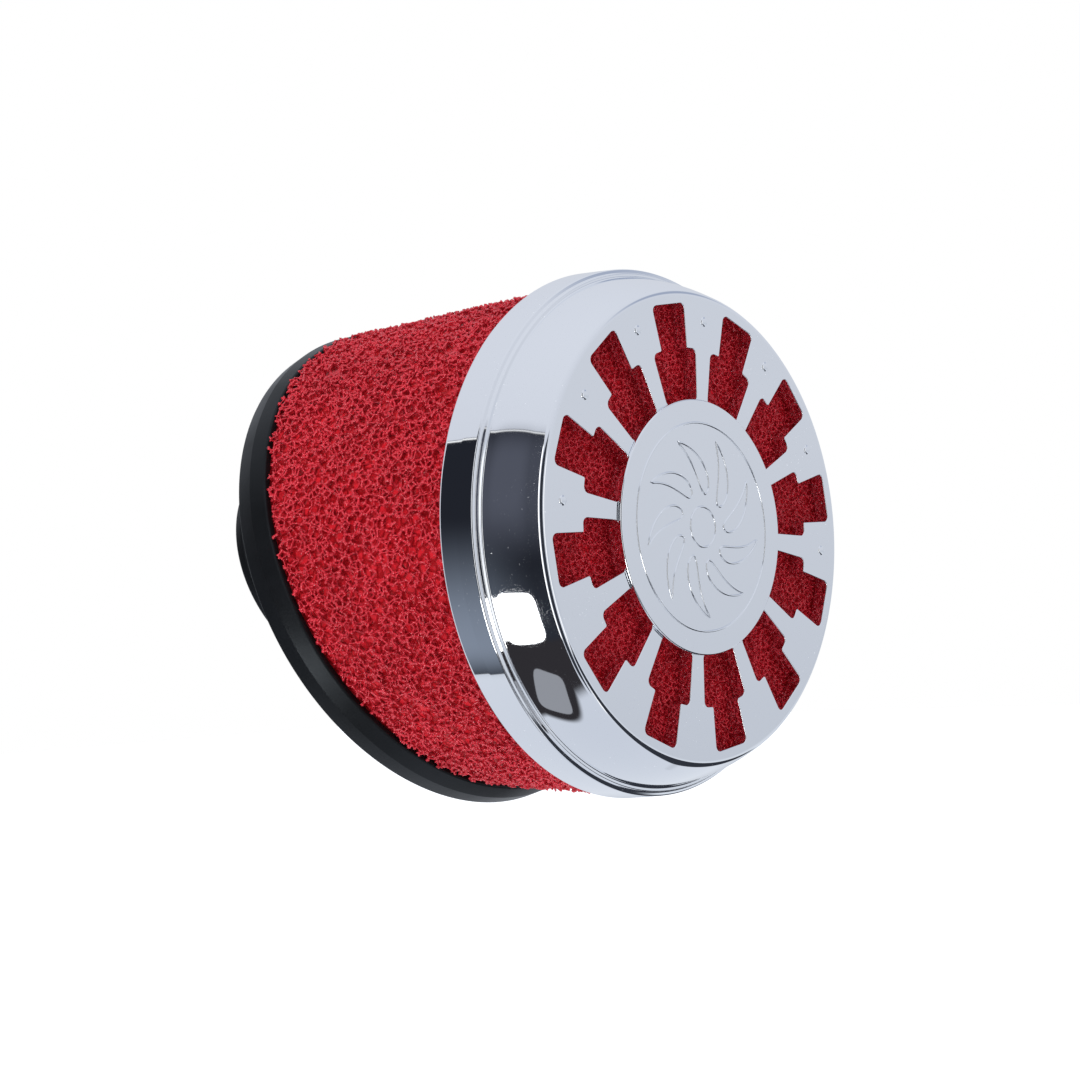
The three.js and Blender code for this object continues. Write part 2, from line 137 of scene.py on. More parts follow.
# ---------------------------------------------------------------- mesh helpers


def make_piece(name, points, faces, body, material, normals=None, sharp=None):
    """A mesh piece from points in millimetres, riding on a body.

    faces is a list of faces of any size, or a tuple of arrays of quads and of triangles.
    """
    mesh = bpy.data.meshes.new(name)
    if isinstance(faces, tuple):
        sizes = np.concatenate([np.full(len(group), group.shape[1]) for group in faces])
        corners = np.concatenate([group.ravel() for group in faces])
        mesh.vertices.add(len(points))
        mesh.vertices.foreach_set("co", (np.asarray(points) * MM).astype(np.float32).ravel())
        mesh.loops.add(len(corners))
        mesh.loops.foreach_set("vertex_index", corners.astype(np.int32))
        mesh.polygons.add(len(sizes))
        mesh.polygons.foreach_set("loop_start", (np.cumsum(sizes) - sizes).astype(np.int32))
        mesh.update(calc_edges=True)
    else:
        mesh.from_pydata([Vector(p) * MM for p in points], [], faces)
    mesh.validate()
    mesh.shade_smooth()
    if sharp is not None:
        mesh.set_sharp_from_angle(angle=math.radians(sharp))
    if normals is not None:
        mesh.normals_split_custom_set_from_vertices(np.asarray(normals, float).tolist())
    piece = bpy.data.objects.new(name, mesh)
    bpy.context.scene.collection.objects.link(piece)
    mesh.materials.append(material)
    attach(piece, body)
    return piece


def rounded(corners, steps=5, closed=False):
    """Outline through (x, y, radius, height) corners, each turned into an arc.

    Returns the points, their unit normals to the left of the outline's direction, and the
    heights, which change smoothly across each arc. A corner of radius 0 becomes two points with
    the normals of its two sides. The height may be left out.
    """
    points, normals, heights = [], [], []
    count = len(corners)
    height_of = [corner[3] if len(corner) > 3 else 0.0 for corner in corners]
    for i, (x, y, radius) in enumerate(corner[:3] for corner in corners):
        here = np.array([x, y], float)
        first = i == 0 and not closed
        last = i == count - 1 and not closed
        after = (i + 1) % count
        into = None if first else here - np.array(corners[i - 1][:2], float)
        out = None if last else np.array(corners[after][:2], float) - here
        if first or last:
            side = out if first else into
            side = side / np.linalg.norm(side)
            points.append(here)
            normals.append(np.array([-side[1], side[0]]))
            heights.append(height_of[i])
            continue
        length_in, length_out = np.linalg.norm(into), np.linalg.norm(out)
        a, b = into / length_in, out / length_out
        turn = math.atan2(a[0] * b[1] - a[1] * b[0], a @ b)
        left_a, left_b = np.array([-a[1], a[0]]), np.array([-b[1], b[0]])
        if radius <= 0 or abs(turn) < 1e-4:
            points += [here, here]
            normals += [left_a, left_b]
            heights += [height_of[i]] * 2
            continue
        reach = radius * math.tan(abs(turn) / 2)
        sign = 1 if turn > 0 else -1
        centre = here - a * reach + left_a * radius * sign
        start = height_of[i] + (height_of[i - 1] - height_of[i]) * reach / length_in
        end = height_of[i] + (height_of[after] - height_of[i]) * reach / length_out
        for k in range(steps + 1):
            share = k / steps
            c, s = math.cos(turn * share), math.sin(turn * share)
            normal = np.array([left_a[0] * c - left_a[1] * s, left_a[0] * s + left_a[1] * c])
            points.append(centre - normal * radius * sign)
            normals.append(normal)
            rest = 1 - share
            heights.append(start * rest ** 2 + 2 * height_of[i] * share * rest + end * share ** 2)
    return np.array(points), np.array(normals), np.array(heights)


def grid_faces(rows, columns, close_rows=False, close_columns=True):
    """Quads over a grid of rows x columns points."""
    r = np.arange(rows if close_rows else rows - 1)
    c = np.arange(columns if close_columns else columns - 1)
    r, c = np.meshgrid(r, c, indexing="ij")
    r2, c2 = (r + 1) % rows, (c + 1) % columns
    quads = np.stack([r * columns + c, r * columns + c2, r2 * columns + c2, r2 * columns + c], -1)
    return quads.reshape(-1, 4)


def turned(outline, normals, segments):
    """Points, quads and normals of an outline of (radius, y) points turned about the Y axis.

    The quads face the way the normals point.
    """
    angles = np.linspace(0, 2 * math.pi, segments, endpoint=False)
    c, s = np.cos(angles), np.sin(angles)
    radius, depth = outline[:, :1], outline[:, 1:]
    points = np.stack([radius * c, np.repeat(depth, segments, 1), radius * s], -1)
    n = np.stack([
        normals[:, :1] * c,
        np.repeat(normals[:, 1:], segments, 1),
        normals[:, :1] * s,
    ], -1)
    points, n = points.reshape(-1, 3), n.reshape(-1, 3)
    faces = grid_faces(len(outline), segments)
    corners = points[faces]
    facing = np.cross(corners[:, 2] - corners[:, 0], corners[:, 3] - corners[:, 1])
    if (facing * n[faces[:, 0]]).sum() < 0:
        faces = faces[:, ::-1]
    return points, faces, n


class Patchwork:
    """Collects points, faces and normals of several patches into one mesh."""

    def __init__(self):
        self.points, self.normals, self.faces, self.count = [], [], [], 0

    def add(self, points, faces, normals):
        self.points.append(points)
        self.normals.append(normals)
        self.faces += [[int(i) + self.count for i in face] for face in faces]
        self.count += len(points)

    def piece(self, name, body, material, slot, place):
        points, normals = np.concatenate(self.points), np.concatenate(self.normals)
        points, faces, normals = welded(points, self.faces, normals)
        return make_piece(name, place(points), faces, body, material, normals)


def welded(points, faces, normals):
    """Joins points that share a place and a normal, and drops faces that this makes flat."""
    key = np.round(np.concatenate([points * 1e3, normals * 1e3], 1)).astype(np.int64)
    _, first, index = np.unique(key, axis=0, return_index=True, return_inverse=True)
    index = index.ravel()
    kept = []
    for face in faces:
        ring = [int(index[i]) for i in face]
        ring = [v for k, v in enumerate(ring) if v != ring[k - 1]]
        if len(ring) > 2:
            kept.append(ring)
    return points[first], kept, normals[first]


def flat_region(outer, holes, depth, facing):
    """A flat plate at a depth, bounded by an outer ring and round its holes."""
    rings = [outer, *holes]
    flat = [Vector((float(x), float(z))) for ring in rings for x, z in ring]
    edges, start = [], 0
    for ring in rings:
        edges += [(start + i, start + (i + 1) % len(ring)) for i in range(len(ring))]
        start += len(ring)
    out = geometry.delaunay_2d_cdt(flat, edges, [], 0, 1e-7, True)
    corners = np.array([(v.x, v.y) for v in out[0]])
    faces = []
    for face in out[2]:
        centre = corners[list(face)].mean(0)
        if inside_ring(centre, outer) and not any(inside_ring(centre, hole) for hole in holes):
            a, b, c = corners[list(face)[:3]]
            turn = (b[0] - a[0]) * (c[1] - a[1]) - (b[1] - a[1]) * (c[0] - a[0])
            faces.append(list(face) if (turn > 0) == (facing < 0) else list(face)[::-1])
    points = np.stack([corners[:, 0], np.full(len(corners), depth), corners[:, 1]], 1)
    return points, faces, np.tile([0.0, float(facing), 0.0], (len(points), 1))


def inside_ring(point, ring):
    """Whether a point lies within a closed outline, by counting the sides to its right."""
    x, z = point
    ring = np.asarray(ring)
    following = np.roll(ring, -1, 0)
    crosses = (ring[:, 1] > z) != (following[:, 1] > z)
    rise = np.where(crosses, following[:, 1] - ring[:, 1], 1.0)
    at = ring[:, 0] + (z - ring[:, 1]) / rise * (following[:, 0] - ring[:, 0])
    return bool(np.sum(crosses & (at > x)) % 2)


def circle(radius, segments):
    """Points on a circle about the origin."""
    angles = np.linspace(0, 2 * math.pi, segments, endpoint=False)
    return np.stack([radius * np.cos(angles), radius * np.sin(angles)], 1)


# ---------------------------------------------------------------- material helpers


class Nodes:
    """A node tree, built by naming each node's inputs."""

    def __init__(self, tree):
        self.tree = tree

    def node(self, kind, output=0, settings=(), **inputs):
        made = self.tree.nodes.new("ShaderNode" + kind)
        for key, value in dict(settings).items():
            setattr(made, key, value)
        for key, value in inputs.items():
            which = int(key[1:]) if key[1:].isdigit() else key.replace("_", " ")
            self.put(made.inputs[which], value)
        return made.outputs[output]

    def put(self, socket, value):
        if isinstance(value, bpy.types.NodeSocket):
            self.tree.links.new(value, socket)
        else:
            socket.default_value = value

    def ramp(self, value, *stops):
        """A colour ramp of (position, colour or grey) stops."""
        made = self.tree.nodes.new("ShaderNodeValToRGB")
        self.tree.links.new(value, made.inputs[0])
        elements = made.color_ramp.elements
        while len(elements) < len(stops):
            elements.new(0.5)
        for element, (position, colour) in zip(elements, stops):
            element.position = position
            element.color = (*colour, 1) if hasattr(colour, "__len__") else (colour,) * 3 + (1,)
        return made.outputs[0]

    def mix(self, share, a, b):
        made = self.tree.nodes.new("ShaderNodeMix")
        made.data_type = "RGBA"
        self.put(made.inputs[0], share)
        self.put(made.inputs[6], a)
        self.put(made.inputs[7], b)
        return made.outputs[2]

    def math(self, operation, a, b=0.0):
        return self.node("Math", settings={"operation": operation}, _0=a, _1=b)


class Shader(Nodes):
    """A node material round a Principled surface."""

    def __init__(self, name):
        self.material = bpy.data.materials.new(name)
        self.material.use_nodes = True
        super().__init__(self.material.node_tree)
        self.surface = self.tree.nodes["Principled BSDF"]
        self.place = self.tree.nodes.new("ShaderNodeTexCoord").outputs["Object"]

    def set(self, **inputs):
        for key, value in inputs.items():
            self.put(self.surface.inputs[key.replace("_", " ")], value)

    def noise(self, scale, detail=2.0, roughness=0.5, place=None):
        """Noise of a given number of bumps per metre."""
        return self.node("TexNoise", Vector=place or self.place, Scale=scale, Detail=detail,
                         Roughness=roughness)

    def stretched(self, x, y, z):
        return self.node("Mapping", Vector=self.place, Scale=(x, y, z))

    def bump(self, height, distance, strength=1.0):
        """A bump of a given depth in metres."""
        return self.node("Bump", Strength=strength, Distance=distance, Height=height)


def chrome_material(name, speck_share):
    """Chrome on plastic: slightly wavy, with hairline scratches and light specks of dust."""
    shader = Shader(name)
    wave = shader.bump(shader.noise(90, 1), 0.00002, 0.5)
    scratch_field = shader.stretched(3, 14, 40)
    scratch = shader.ramp(shader.noise(160, 3, 0.6, scratch_field), (0.485, 0.0), (0.5, 1.0), (0.515, 0.0))
    wear = shader.ramp(shader.noise(60, 4, 0.6), (0.5, 0.0), (0.68, 1.0))
    scratched = shader.math("MULTIPLY", scratch, wear)
    specks = shader.ramp(shader.noise(2300, 2, 0.7), (speck_share, 0.0), (speck_share + 0.03, 1.0))
    dust = shader.math("MULTIPLY", specks, wear)
    shader.set(
        Base_Color=shader.mix(dust, (0.90, 0.92, 0.95, 1), (0.82, 0.83, 0.85, 1)),
        Metallic=shader.math("SUBTRACT", 1.0, shader.math("MULTIPLY", dust, 0.75)),
        Roughness=shader.ramp(scratched, (0.0, 0.035), (1.0, 0.22)),
        Normal=wave,
    )
    return shader.material


def foam_material(name, bright, dark, shine, painted_glow=0.0, pore_scale=0, pore_depth=0):
    """Oiled polyurethane foam: deep red, patchy with oil, shiny on its struts.

    The emission strength, in the foam's own colour, is painted light that lifts the foam's shade;
    a pore scale gives the material the cells that are too deep to be modelled, as bumps darkened
    with painted shade.
    """
    shader = Shader(name)
    patch = shader.ramp(shader.noise(110, 3), (0.3, 0.0), (0.7, 1.0))
    colour = shader.mix(patch, (*dark, 1), (*bright, 1))
    normal = shader.bump(shader.noise(2400, 2), 0.00003, 0.6)
    if pore_scale:
        pores = shader.node("TexVoronoi", 0, {"feature": "DISTANCE_TO_EDGE"}, Vector=shader.place,
                            Scale=pore_scale)
        # Painted shade: the open pores are darkened in colour as well as bumped, for the shade deep in the
        # cells.
        pore_and_painted_shade = shader.ramp(pores, (0.03, 1.0), (0.2, 0.0))
        colour = shader.mix(pore_and_painted_shade, colour, (dark[0] * 0.6, dark[1] * 0.4, dark[2] * 0.4, 1))
        normal = shader.bump(pore_and_painted_shade, pore_depth)
    shader.set(
        Base_Color=colour,
        Roughness=shader.ramp(shader.noise(900, 2), (0.35, 0.14), (0.7, 0.32)),
        Specular_IOR_Level=shine,
        # Painted light: emission in the foam's own colour lifts its shade.
        Emission_Color=colour,
        Emission_Strength=painted_glow,
        Normal=normal,
    )
    return shader.material


def rubber_material():
    """Moulded black rubber: fine grain, faint grey bloom and soft moulding streaks."""
    shader = Shader("moulded_rubber")
    bloom = shader.ramp(shader.noise(45, 4, 0.6), (0.35, 0.0), (0.75, 1.0))
    streak = shader.noise(60, 3, 0.6, shader.stretched(1, 0.15, 1))
    grain = shader.noise(3500, 2, 0.6)
    height = shader.math("ADD", grain, shader.math("MULTIPLY", streak, 1.5))
    shader.set(
        Base_Color=shader.mix(bloom, (0.003, 0.0032, 0.0036, 1), (0.008, 0.0085, 0.010, 1)),
        Roughness=shader.ramp(streak, (0.3, 0.3), (0.7, 0.44)),
        Specular_IOR_Level=0.22,
        Specular_Tint=(0.82, 0.92, 1.0, 1),
        Normal=shader.bump(height, 0.00003, 0.6),
    )
    return shader.material


def steel_material(name, colour, roughness, brushed=(1, 1, 1), stain=(0.4, 0.38, 0.35)):
    """Plated steel: brushed along one axis, with stains and small dents."""
    shader = Shader(name)
    grain = shader.noise(1800, 2, 0.6, shader.stretched(*brushed))
    stains = shader.ramp(shader.noise(140, 4, 0.65), (0.5, 0.0), (0.8, 0.6))
    shader.set(
        Base_Color=shader.mix(stains, (*colour, 1), (*stain, 1)),
        Metallic=1.0,
        Roughness=shader.ramp(grain, (0.3, roughness), (0.7, roughness + 0.16)),
        Normal=shader.bump(grain, 0.00001, 0.5),
    )
    return shader.material


CHROME = chrome_material("cap_chrome_plating", 0.70)
BADGE_CHROME = chrome_material("badge_chrome_plating", 0.74)
# The number after each foam's shine is painted light: emission that lifts the foam's shade. The cores' pores
# also carry painted shade.
FOAM_STRUT = foam_material("oiled_coarse_foam", (0.58, 0.025, 0.042), (0.47, 0.018, 0.031), 0.75, 0.10)
FOAM_CORE = foam_material("coarse_foam_depth", (0.54, 0.015, 0.024), (0.43, 0.010, 0.017), 0.15, 0.11,
                          620, 0.0003)
FINE_STRUT = foam_material("oiled_fine_foam", (0.46, 0.014, 0.026), (0.36, 0.010, 0.018), 0.6, 0.12)
FINE_CORE = foam_material("fine_foam_depth", (0.46, 0.010, 0.018), (0.36, 0.007, 0.013), 0.15, 0.18,
                          1300, 0.0002)
RUBBER = rubber_material()
CLAMP_STEEL = steel_material("clamp_stainless", (0.62, 0.62, 0.63), 0.22, (1, 8, 1))
ZINC = steel_material("zinc_plating", (0.66, 0.64, 0.56), 0.28, (1, 1, 1), (0.5, 0.44, 0.3))
CAGE = steel_material("cage_wire_plating", (0.55, 0.55, 0.56), 0.3, (1, 3, 1))

# ---------------------------------------------------------------- chrome cap


def slot_outline(angle):
    """A stepped slot's outline with round corners, and its normals that point out of the slot."""
    corners = [
        (SLOT_INNER, -SLOT_WIDE, SLOT_CORNER),
        (SLOT_STEP, -SLOT_WIDE, SLOT_CORNER),
        (SLOT_STEP, -SLOT_NARROW, STEP_CORNER),
        (SLOT_OUTER, -SLOT_NARROW, SLOT_CORNER),
        (SLOT_OUTER, SLOT_NARROW, SLOT_CORNER),
        (SLOT_STEP, SLOT_NARROW, STEP_CORNER),
        (SLOT_STEP, SLOT_WIDE, SLOT_CORNER),
        (SLOT_INNER, SLOT_WIDE, SLOT_CORNER),
        *((SLOT_INNER, SLOT_WIDE * share, 2.0) for share in (0.5, 0, -0.5)),
    ]
    outline = [
        (radius * math.cos(angle + turn), radius * math.sin(angle + turn), corner)
        for radius, turn, corner in corners
    ]
    points, normals, _ = rounded(outline, 7, closed=True)
    return points, -normals


def slot_wall(patchwork, points, normals):
    """The slot's side wall, with rounded edges at the face's front and back."""
    quarter = np.linspace(0, math.pi / 2, 5)
    rows = [
        (RIM_ROUNDING * (1 - math.sin(a)), RIM_ROUNDING * (1 - math.cos(a)), math.sin(a), -math.cos(a))
        for a in quarter
    ]
    back = [(out, FACE_THICKNESS - depth, side, -facing) for out, depth, side, facing in rows[::-1]]
    rows += back
    grid, facing = [], []
    for out, depth, side, along in rows:
        ring = points + normals * out
        grid.append(np.stack([ring[:, 0], np.full(len(ring), depth), ring[:, 1]], 1))
        facing.append(np.stack([-normals[:, 0] * side, np.full(len(ring), along), -normals[:, 1] * side], 1))
    faces = grid_faces(len(rows), len(points))
    patchwork.add(np.concatenate(grid), faces, np.concatenate(facing))
    return points + normals * RIM_ROUNDING


def build_cap_shell():
    """The cap: face with twelve stepped slots, sloping wall, beaded shoulder and rolled skirt."""
    segments = 360
    shell = Patchwork()
    edge_start = FACE_RADIUS - EDGE_FILLET
    # The wall bulges a little between the face's edge and the shoulder.
    outer, outer_normals, _ = rounded([
        (edge_start, 0, 0),
        (FACE_RADIUS - 0.85, 0, 0.75 * EDGE_FILLET),
        (42.6, 5.3, 30),
        (43.65, 9.6, 0.3),
        (44.25, 9.7, 0.2),
        (44.45, 10.2, 0.2),
        (45.1, 10.4, 0.35),
        (45.3, 13.6, 20),
        (SKIRT_RADIUS - 0.05, SKIRT_DEPTH - 0.5, 0.4),
        (SKIRT_RADIUS - 0.25, SKIRT_DEPTH, 0.3),
        (44.4, SKIRT_DEPTH, 0.3),
        (43.9, 13.2, 0.4),
        (43.4, 11.2, 0.5),
        (42.0, 10.9, 0.4),
        (39.4, FACE_THICKNESS, 0.6),
        (38.9, FACE_THICKNESS, 0),
    ], 8)
    well, well_normals, _ = rounded([
        (WELL_RADIUS + 2.4, FACE_THICKNESS, 0),
        (WELL_RADIUS + 2, FACE_THICKNESS, 0.3),
        (WELL_RADIUS + 2, WELL_DEPTH + WELL_FLOOR, 0.3),
        (BOLT_HOLE, WELL_DEPTH + WELL_FLOOR, 0.15),
        (BOLT_HOLE, WELL_DEPTH, 0.15),
        (WELL_RADIUS, WELL_DEPTH, 0.3),
        (WELL_RADIUS, RECESS_DEPTH, 0.2),
        (RECESS_RADIUS, RECESS_DEPTH, 0.2),
        (RECESS_RADIUS, 0, 0.1),
        (RECESS_RADIUS + 0.1, 0, 0),
    ], 4)
    # The metal lies to the left of both outlines, so their normals are turned over.
    for outline, normals in ((outer, outer_normals), (well, well_normals)):
        shell.add(*turned(outline, -normals, segments))
    holes = []
    for i in range(SLOT_COUNT):
        points, normals = slot_outline(SLOT_START + 2 * math.pi * i / SLOT_COUNT)
        holes.append(slot_wall(shell, points, normals))
    front = flat_region(circle(edge_start, segments), [circle(well[-1, 0], segments), *holes], 0, -1)
    shell.add(*front)
    back_ring, back_hole = circle(outer[-1, 0], segments), circle(well[0, 0], segments)
    shell.add(*flat_region(back_ring, [back_hole, *holes], FACE_THICKNESS, 1))
    return shell.piece("cap_chrome_shell", "cap", CHROME, "cap_chrome", cap_frame)


def swept_loop(path, radius, sides, flatten):
    """A tube round a closed loop of points; flatten squeezes it along the Y axis."""
    along = np.roll(path, -1, 0) - np.roll(path, 1, 0)
    along /= np.linalg.norm(along, axis=1, keepdims=True)
    up = np.tile((0.0, -1.0, 0.0), (len(path), 1))
    side = np.cross(along, up)
    side /= np.linalg.norm(side, axis=1, keepdims=True)
    up = np.cross(side, along)
    angles = np.linspace(0, 2 * math.pi, sides, endpoint=False)
    c, s = np.cos(angles)[None, :, None], np.sin(angles)[None, :, None]
    points = path[:, None] + radius * (c * side[:, None] + s * flatten * up[:, None])
    faces = [list(map(int, f[::-1])) for f in grid_faces(len(path), sides, close_rows=True)]
    return points.reshape(-1, 3), faces


def joined(parts):
    """Several (points, faces) parts as one."""
    points, faces, count = [], [], 0
    for part_points, part_faces in parts:
        points.append(part_points)
        faces += [[int(i) + count for i in face] for face in part_faces]
        count += len(part_points)
    return np.concatenate(points), faces


def face_pips():
    """Small raised pips on the bars between the upper slots."""
    parts = []
    profile = np.array([[math.cos(a), -math.sin(a)] for a in np.linspace(0, math.pi / 2, 7)])
    for i in range(PIP_COUNT):
        angle = math.radians(PIP_START + 30 * i)
        outline = np.concatenate([[[0, 0]], profile]) * (PIP_RADIUS, PIP_HEIGHT)
        points, faces, _ = turned(outline, outline, 20)
        points, faces, _ = welded(points, faces, np.zeros_like(points))
        points += (PIP_CIRCLE * math.cos(angle), 0.005, PIP_CIRCLE * math.sin(angle))
        parts.append((points, faces))
    points, faces = joined(parts)
    make_piece("cap_face_pips", cap_frame(points), faces, "cap", CHROME, sharp=50)


def build_badge():
    """The round badge with a raised fan of outlined blades between two rings."""
    outline, normals, _ = rounded([
        (0.0, -BADGE_HEIGHT, 0),
        (BADGE_RADIUS, -BADGE_HEIGHT, 0.3),
        (BADGE_RADIUS, -0.03, 0.1),
        (RECESS_RADIUS - 0.4, -0.03, 0),
        (RECESS_RADIUS - 0.4, 0.85, 0.1),
        (0.0, 0.85, 0),
    ], 6)
    body = Patchwork()
    body.add(*turned(outline, -normals, 256))
    badge = body.piece("badge_disc", "badge", BADGE_CHROME, "badge_chrome", cap_frame)
    lines = []
    share = np.linspace(0, 1, 22)
    for i in range(BLADE_COUNT):
        start = 2 * math.pi * i / BLADE_COUNT
        radius = BLADE_FROM + BLADE_LENGTH * share
        lead = start + 0.55 * share ** 1.4
        width = 0.30 * np.sin(math.pi * share ** 0.8) ** 0.7 * BLADE_FROM / radius * 1.9
        there, back = (
            np.stack([radius * np.cos(angle), radius * np.sin(angle)], 1)
            for angle in (lead + width / 2, lead - width / 2)
        )
        lines.append(np.concatenate([there, back[-2:0:-1]]))
    lines += [circle(radius, 96) for radius in (3.4, 17.6)]
    tubes = []
    for line in lines:
        raised = np.stack([line[:, 0], np.full(len(line), -BADGE_HEIGHT), line[:, 1]], 1)
        tubes.append(swept_loop(raised, 0.2, 8, 0.9))
    points, faces = joined(tubes)
    make_piece("badge_fan_relief", cap_frame(points), faces, "badge", BADGE_CHROME,
               sharp=60)
    return badge


# ---------------------------------------------------------------- open-cell foam

TILE = 27.6                        # ten of these go round the sleeve
TILE_DEPTH = 6.6
CELL_VOLUME = 3.8                  # cubic millimetres, cells about 1.9 mm across
STRUT = 0.25                       # half width of a strut
PUSH_REACH, PUSH_SHARE = 2.2, 0.12 # seeds closer than this are pushed apart by this share
LARGEST_VOID = 3.0                 # radius of the largest ball that fits between seeds
NEAR_COUNT = 30                    # neighbours searched for each seed


def foam_tile():
    """A Voronoi foam that repeats in all three directions.

    Returns the nodes' places, each node's four cells (seed number and repeat), and the seeds.
    """
    size = np.array([TILE, TILE, TILE_DEPTH])
    count = int(size.prod() / CELL_VOLUME)
    seeds = rng.random((count, 3)) * size
    shifts = np.array(list(itertools.product((-1, 0, 1), repeat=3)))
    for _ in range(4):                             # pushes close seeds apart
        everywhere = (seeds[None] + (shifts * size)[:, None]).reshape(-1, 3)
        push = np.zeros_like(seeds)
        for start in range(0, count, 200):
            block = seeds[start:start + 200]
            gap = block[:, None] - everywhere[None]
            distance = np.linalg.norm(gap, axis=2) + 1e-9
            close = (distance > 1e-6) & (distance < PUSH_REACH)
            force = np.where(close, (PUSH_REACH - distance) / distance, 0)
            push[start:start + 200] = (gap * force[:, :, None]).sum(1) * PUSH_SHARE
        seeds = (seeds + push) % size
    everywhere = (seeds[None] + (shifts * size)[:, None]).reshape(-1, 3)
    owner = np.tile(np.arange(count), len(shifts))
    repeat = np.repeat(shifts, count, 0)
    triples = np.array(list(itertools.combinations(range(NEAR_COUNT), 3)))
    places, cells, repeats = [], [], []
    for i in range(count):
        distance = np.linalg.norm(everywhere - seeds[i], axis=1)
        near = np.argpartition(distance, NEAR_COUNT + 1)[:NEAR_COUNT + 1]
        near = near[distance[near] > 1e-9]         # all but the seed itself
        relative = everywhere[near] - seeds[i]
        usable = owner[near] > i
        chosen = triples[usable[triples].all(1)]
        rows = relative[chosen]
        right = (rows ** 2).sum(2) / 2
        determinant = np.linalg.det(rows)
        good = np.abs(determinant) > 1e-4
        rows, right, chosen = rows[good], right[good], chosen[good]
        centre = np.linalg.solve(rows, right[:, :, None])[:, :, 0]
        square = (centre ** 2).sum(1)
        small = square < LARGEST_VOID ** 2
        centre, square, chosen = centre[small], square[small], chosen[small]
        to_near = ((centre[:, None] - relative[None]) ** 2).sum(2)
        empty = (to_near > square[:, None] - 1e-7).all(1)
        for place, found in zip(centre[empty] + seeds[i], chosen[empty]):
            places.append(place)
            cells.append([i, *owner[near[found]]])
            repeats.append([(0, 0, 0), *repeat[near[found]]])
    return np.array(places), np.array(cells), np.array(repeats), seeds


PAIRS = np.array([(0, 1), (0, 2), (0, 3), (1, 2), (1, 3), (2, 3)])
PAIR_NUMBER = np.zeros((4, 4), int)
for number, (p, q) in enumerate(PAIRS):
    PAIR_NUMBER[p, q] = PAIR_NUMBER[q, p] = number


def keyed(cells, repeats, count):
    """One number for each set of cells that is the same wherever the tile repeats.

    Returns the numbers, the order that sorts each set, and the repeat of its first cell.
    """
    order = np.argsort(cells, axis=1)
    cells = np.take_along_axis(cells, order, 1)
    repeats = np.take_along_axis(repeats, order[:, :, None], 1)
    key = np.zeros(len(cells), np.int64)
    for k in range(cells.shape[1]):
        key = key * count + cells[:, k]
        for axis in range(3):
            key = key * 5 + (repeats[:, k, axis] - repeats[:, 0, axis] + 2)
    return key, order, repeats[:, 0]


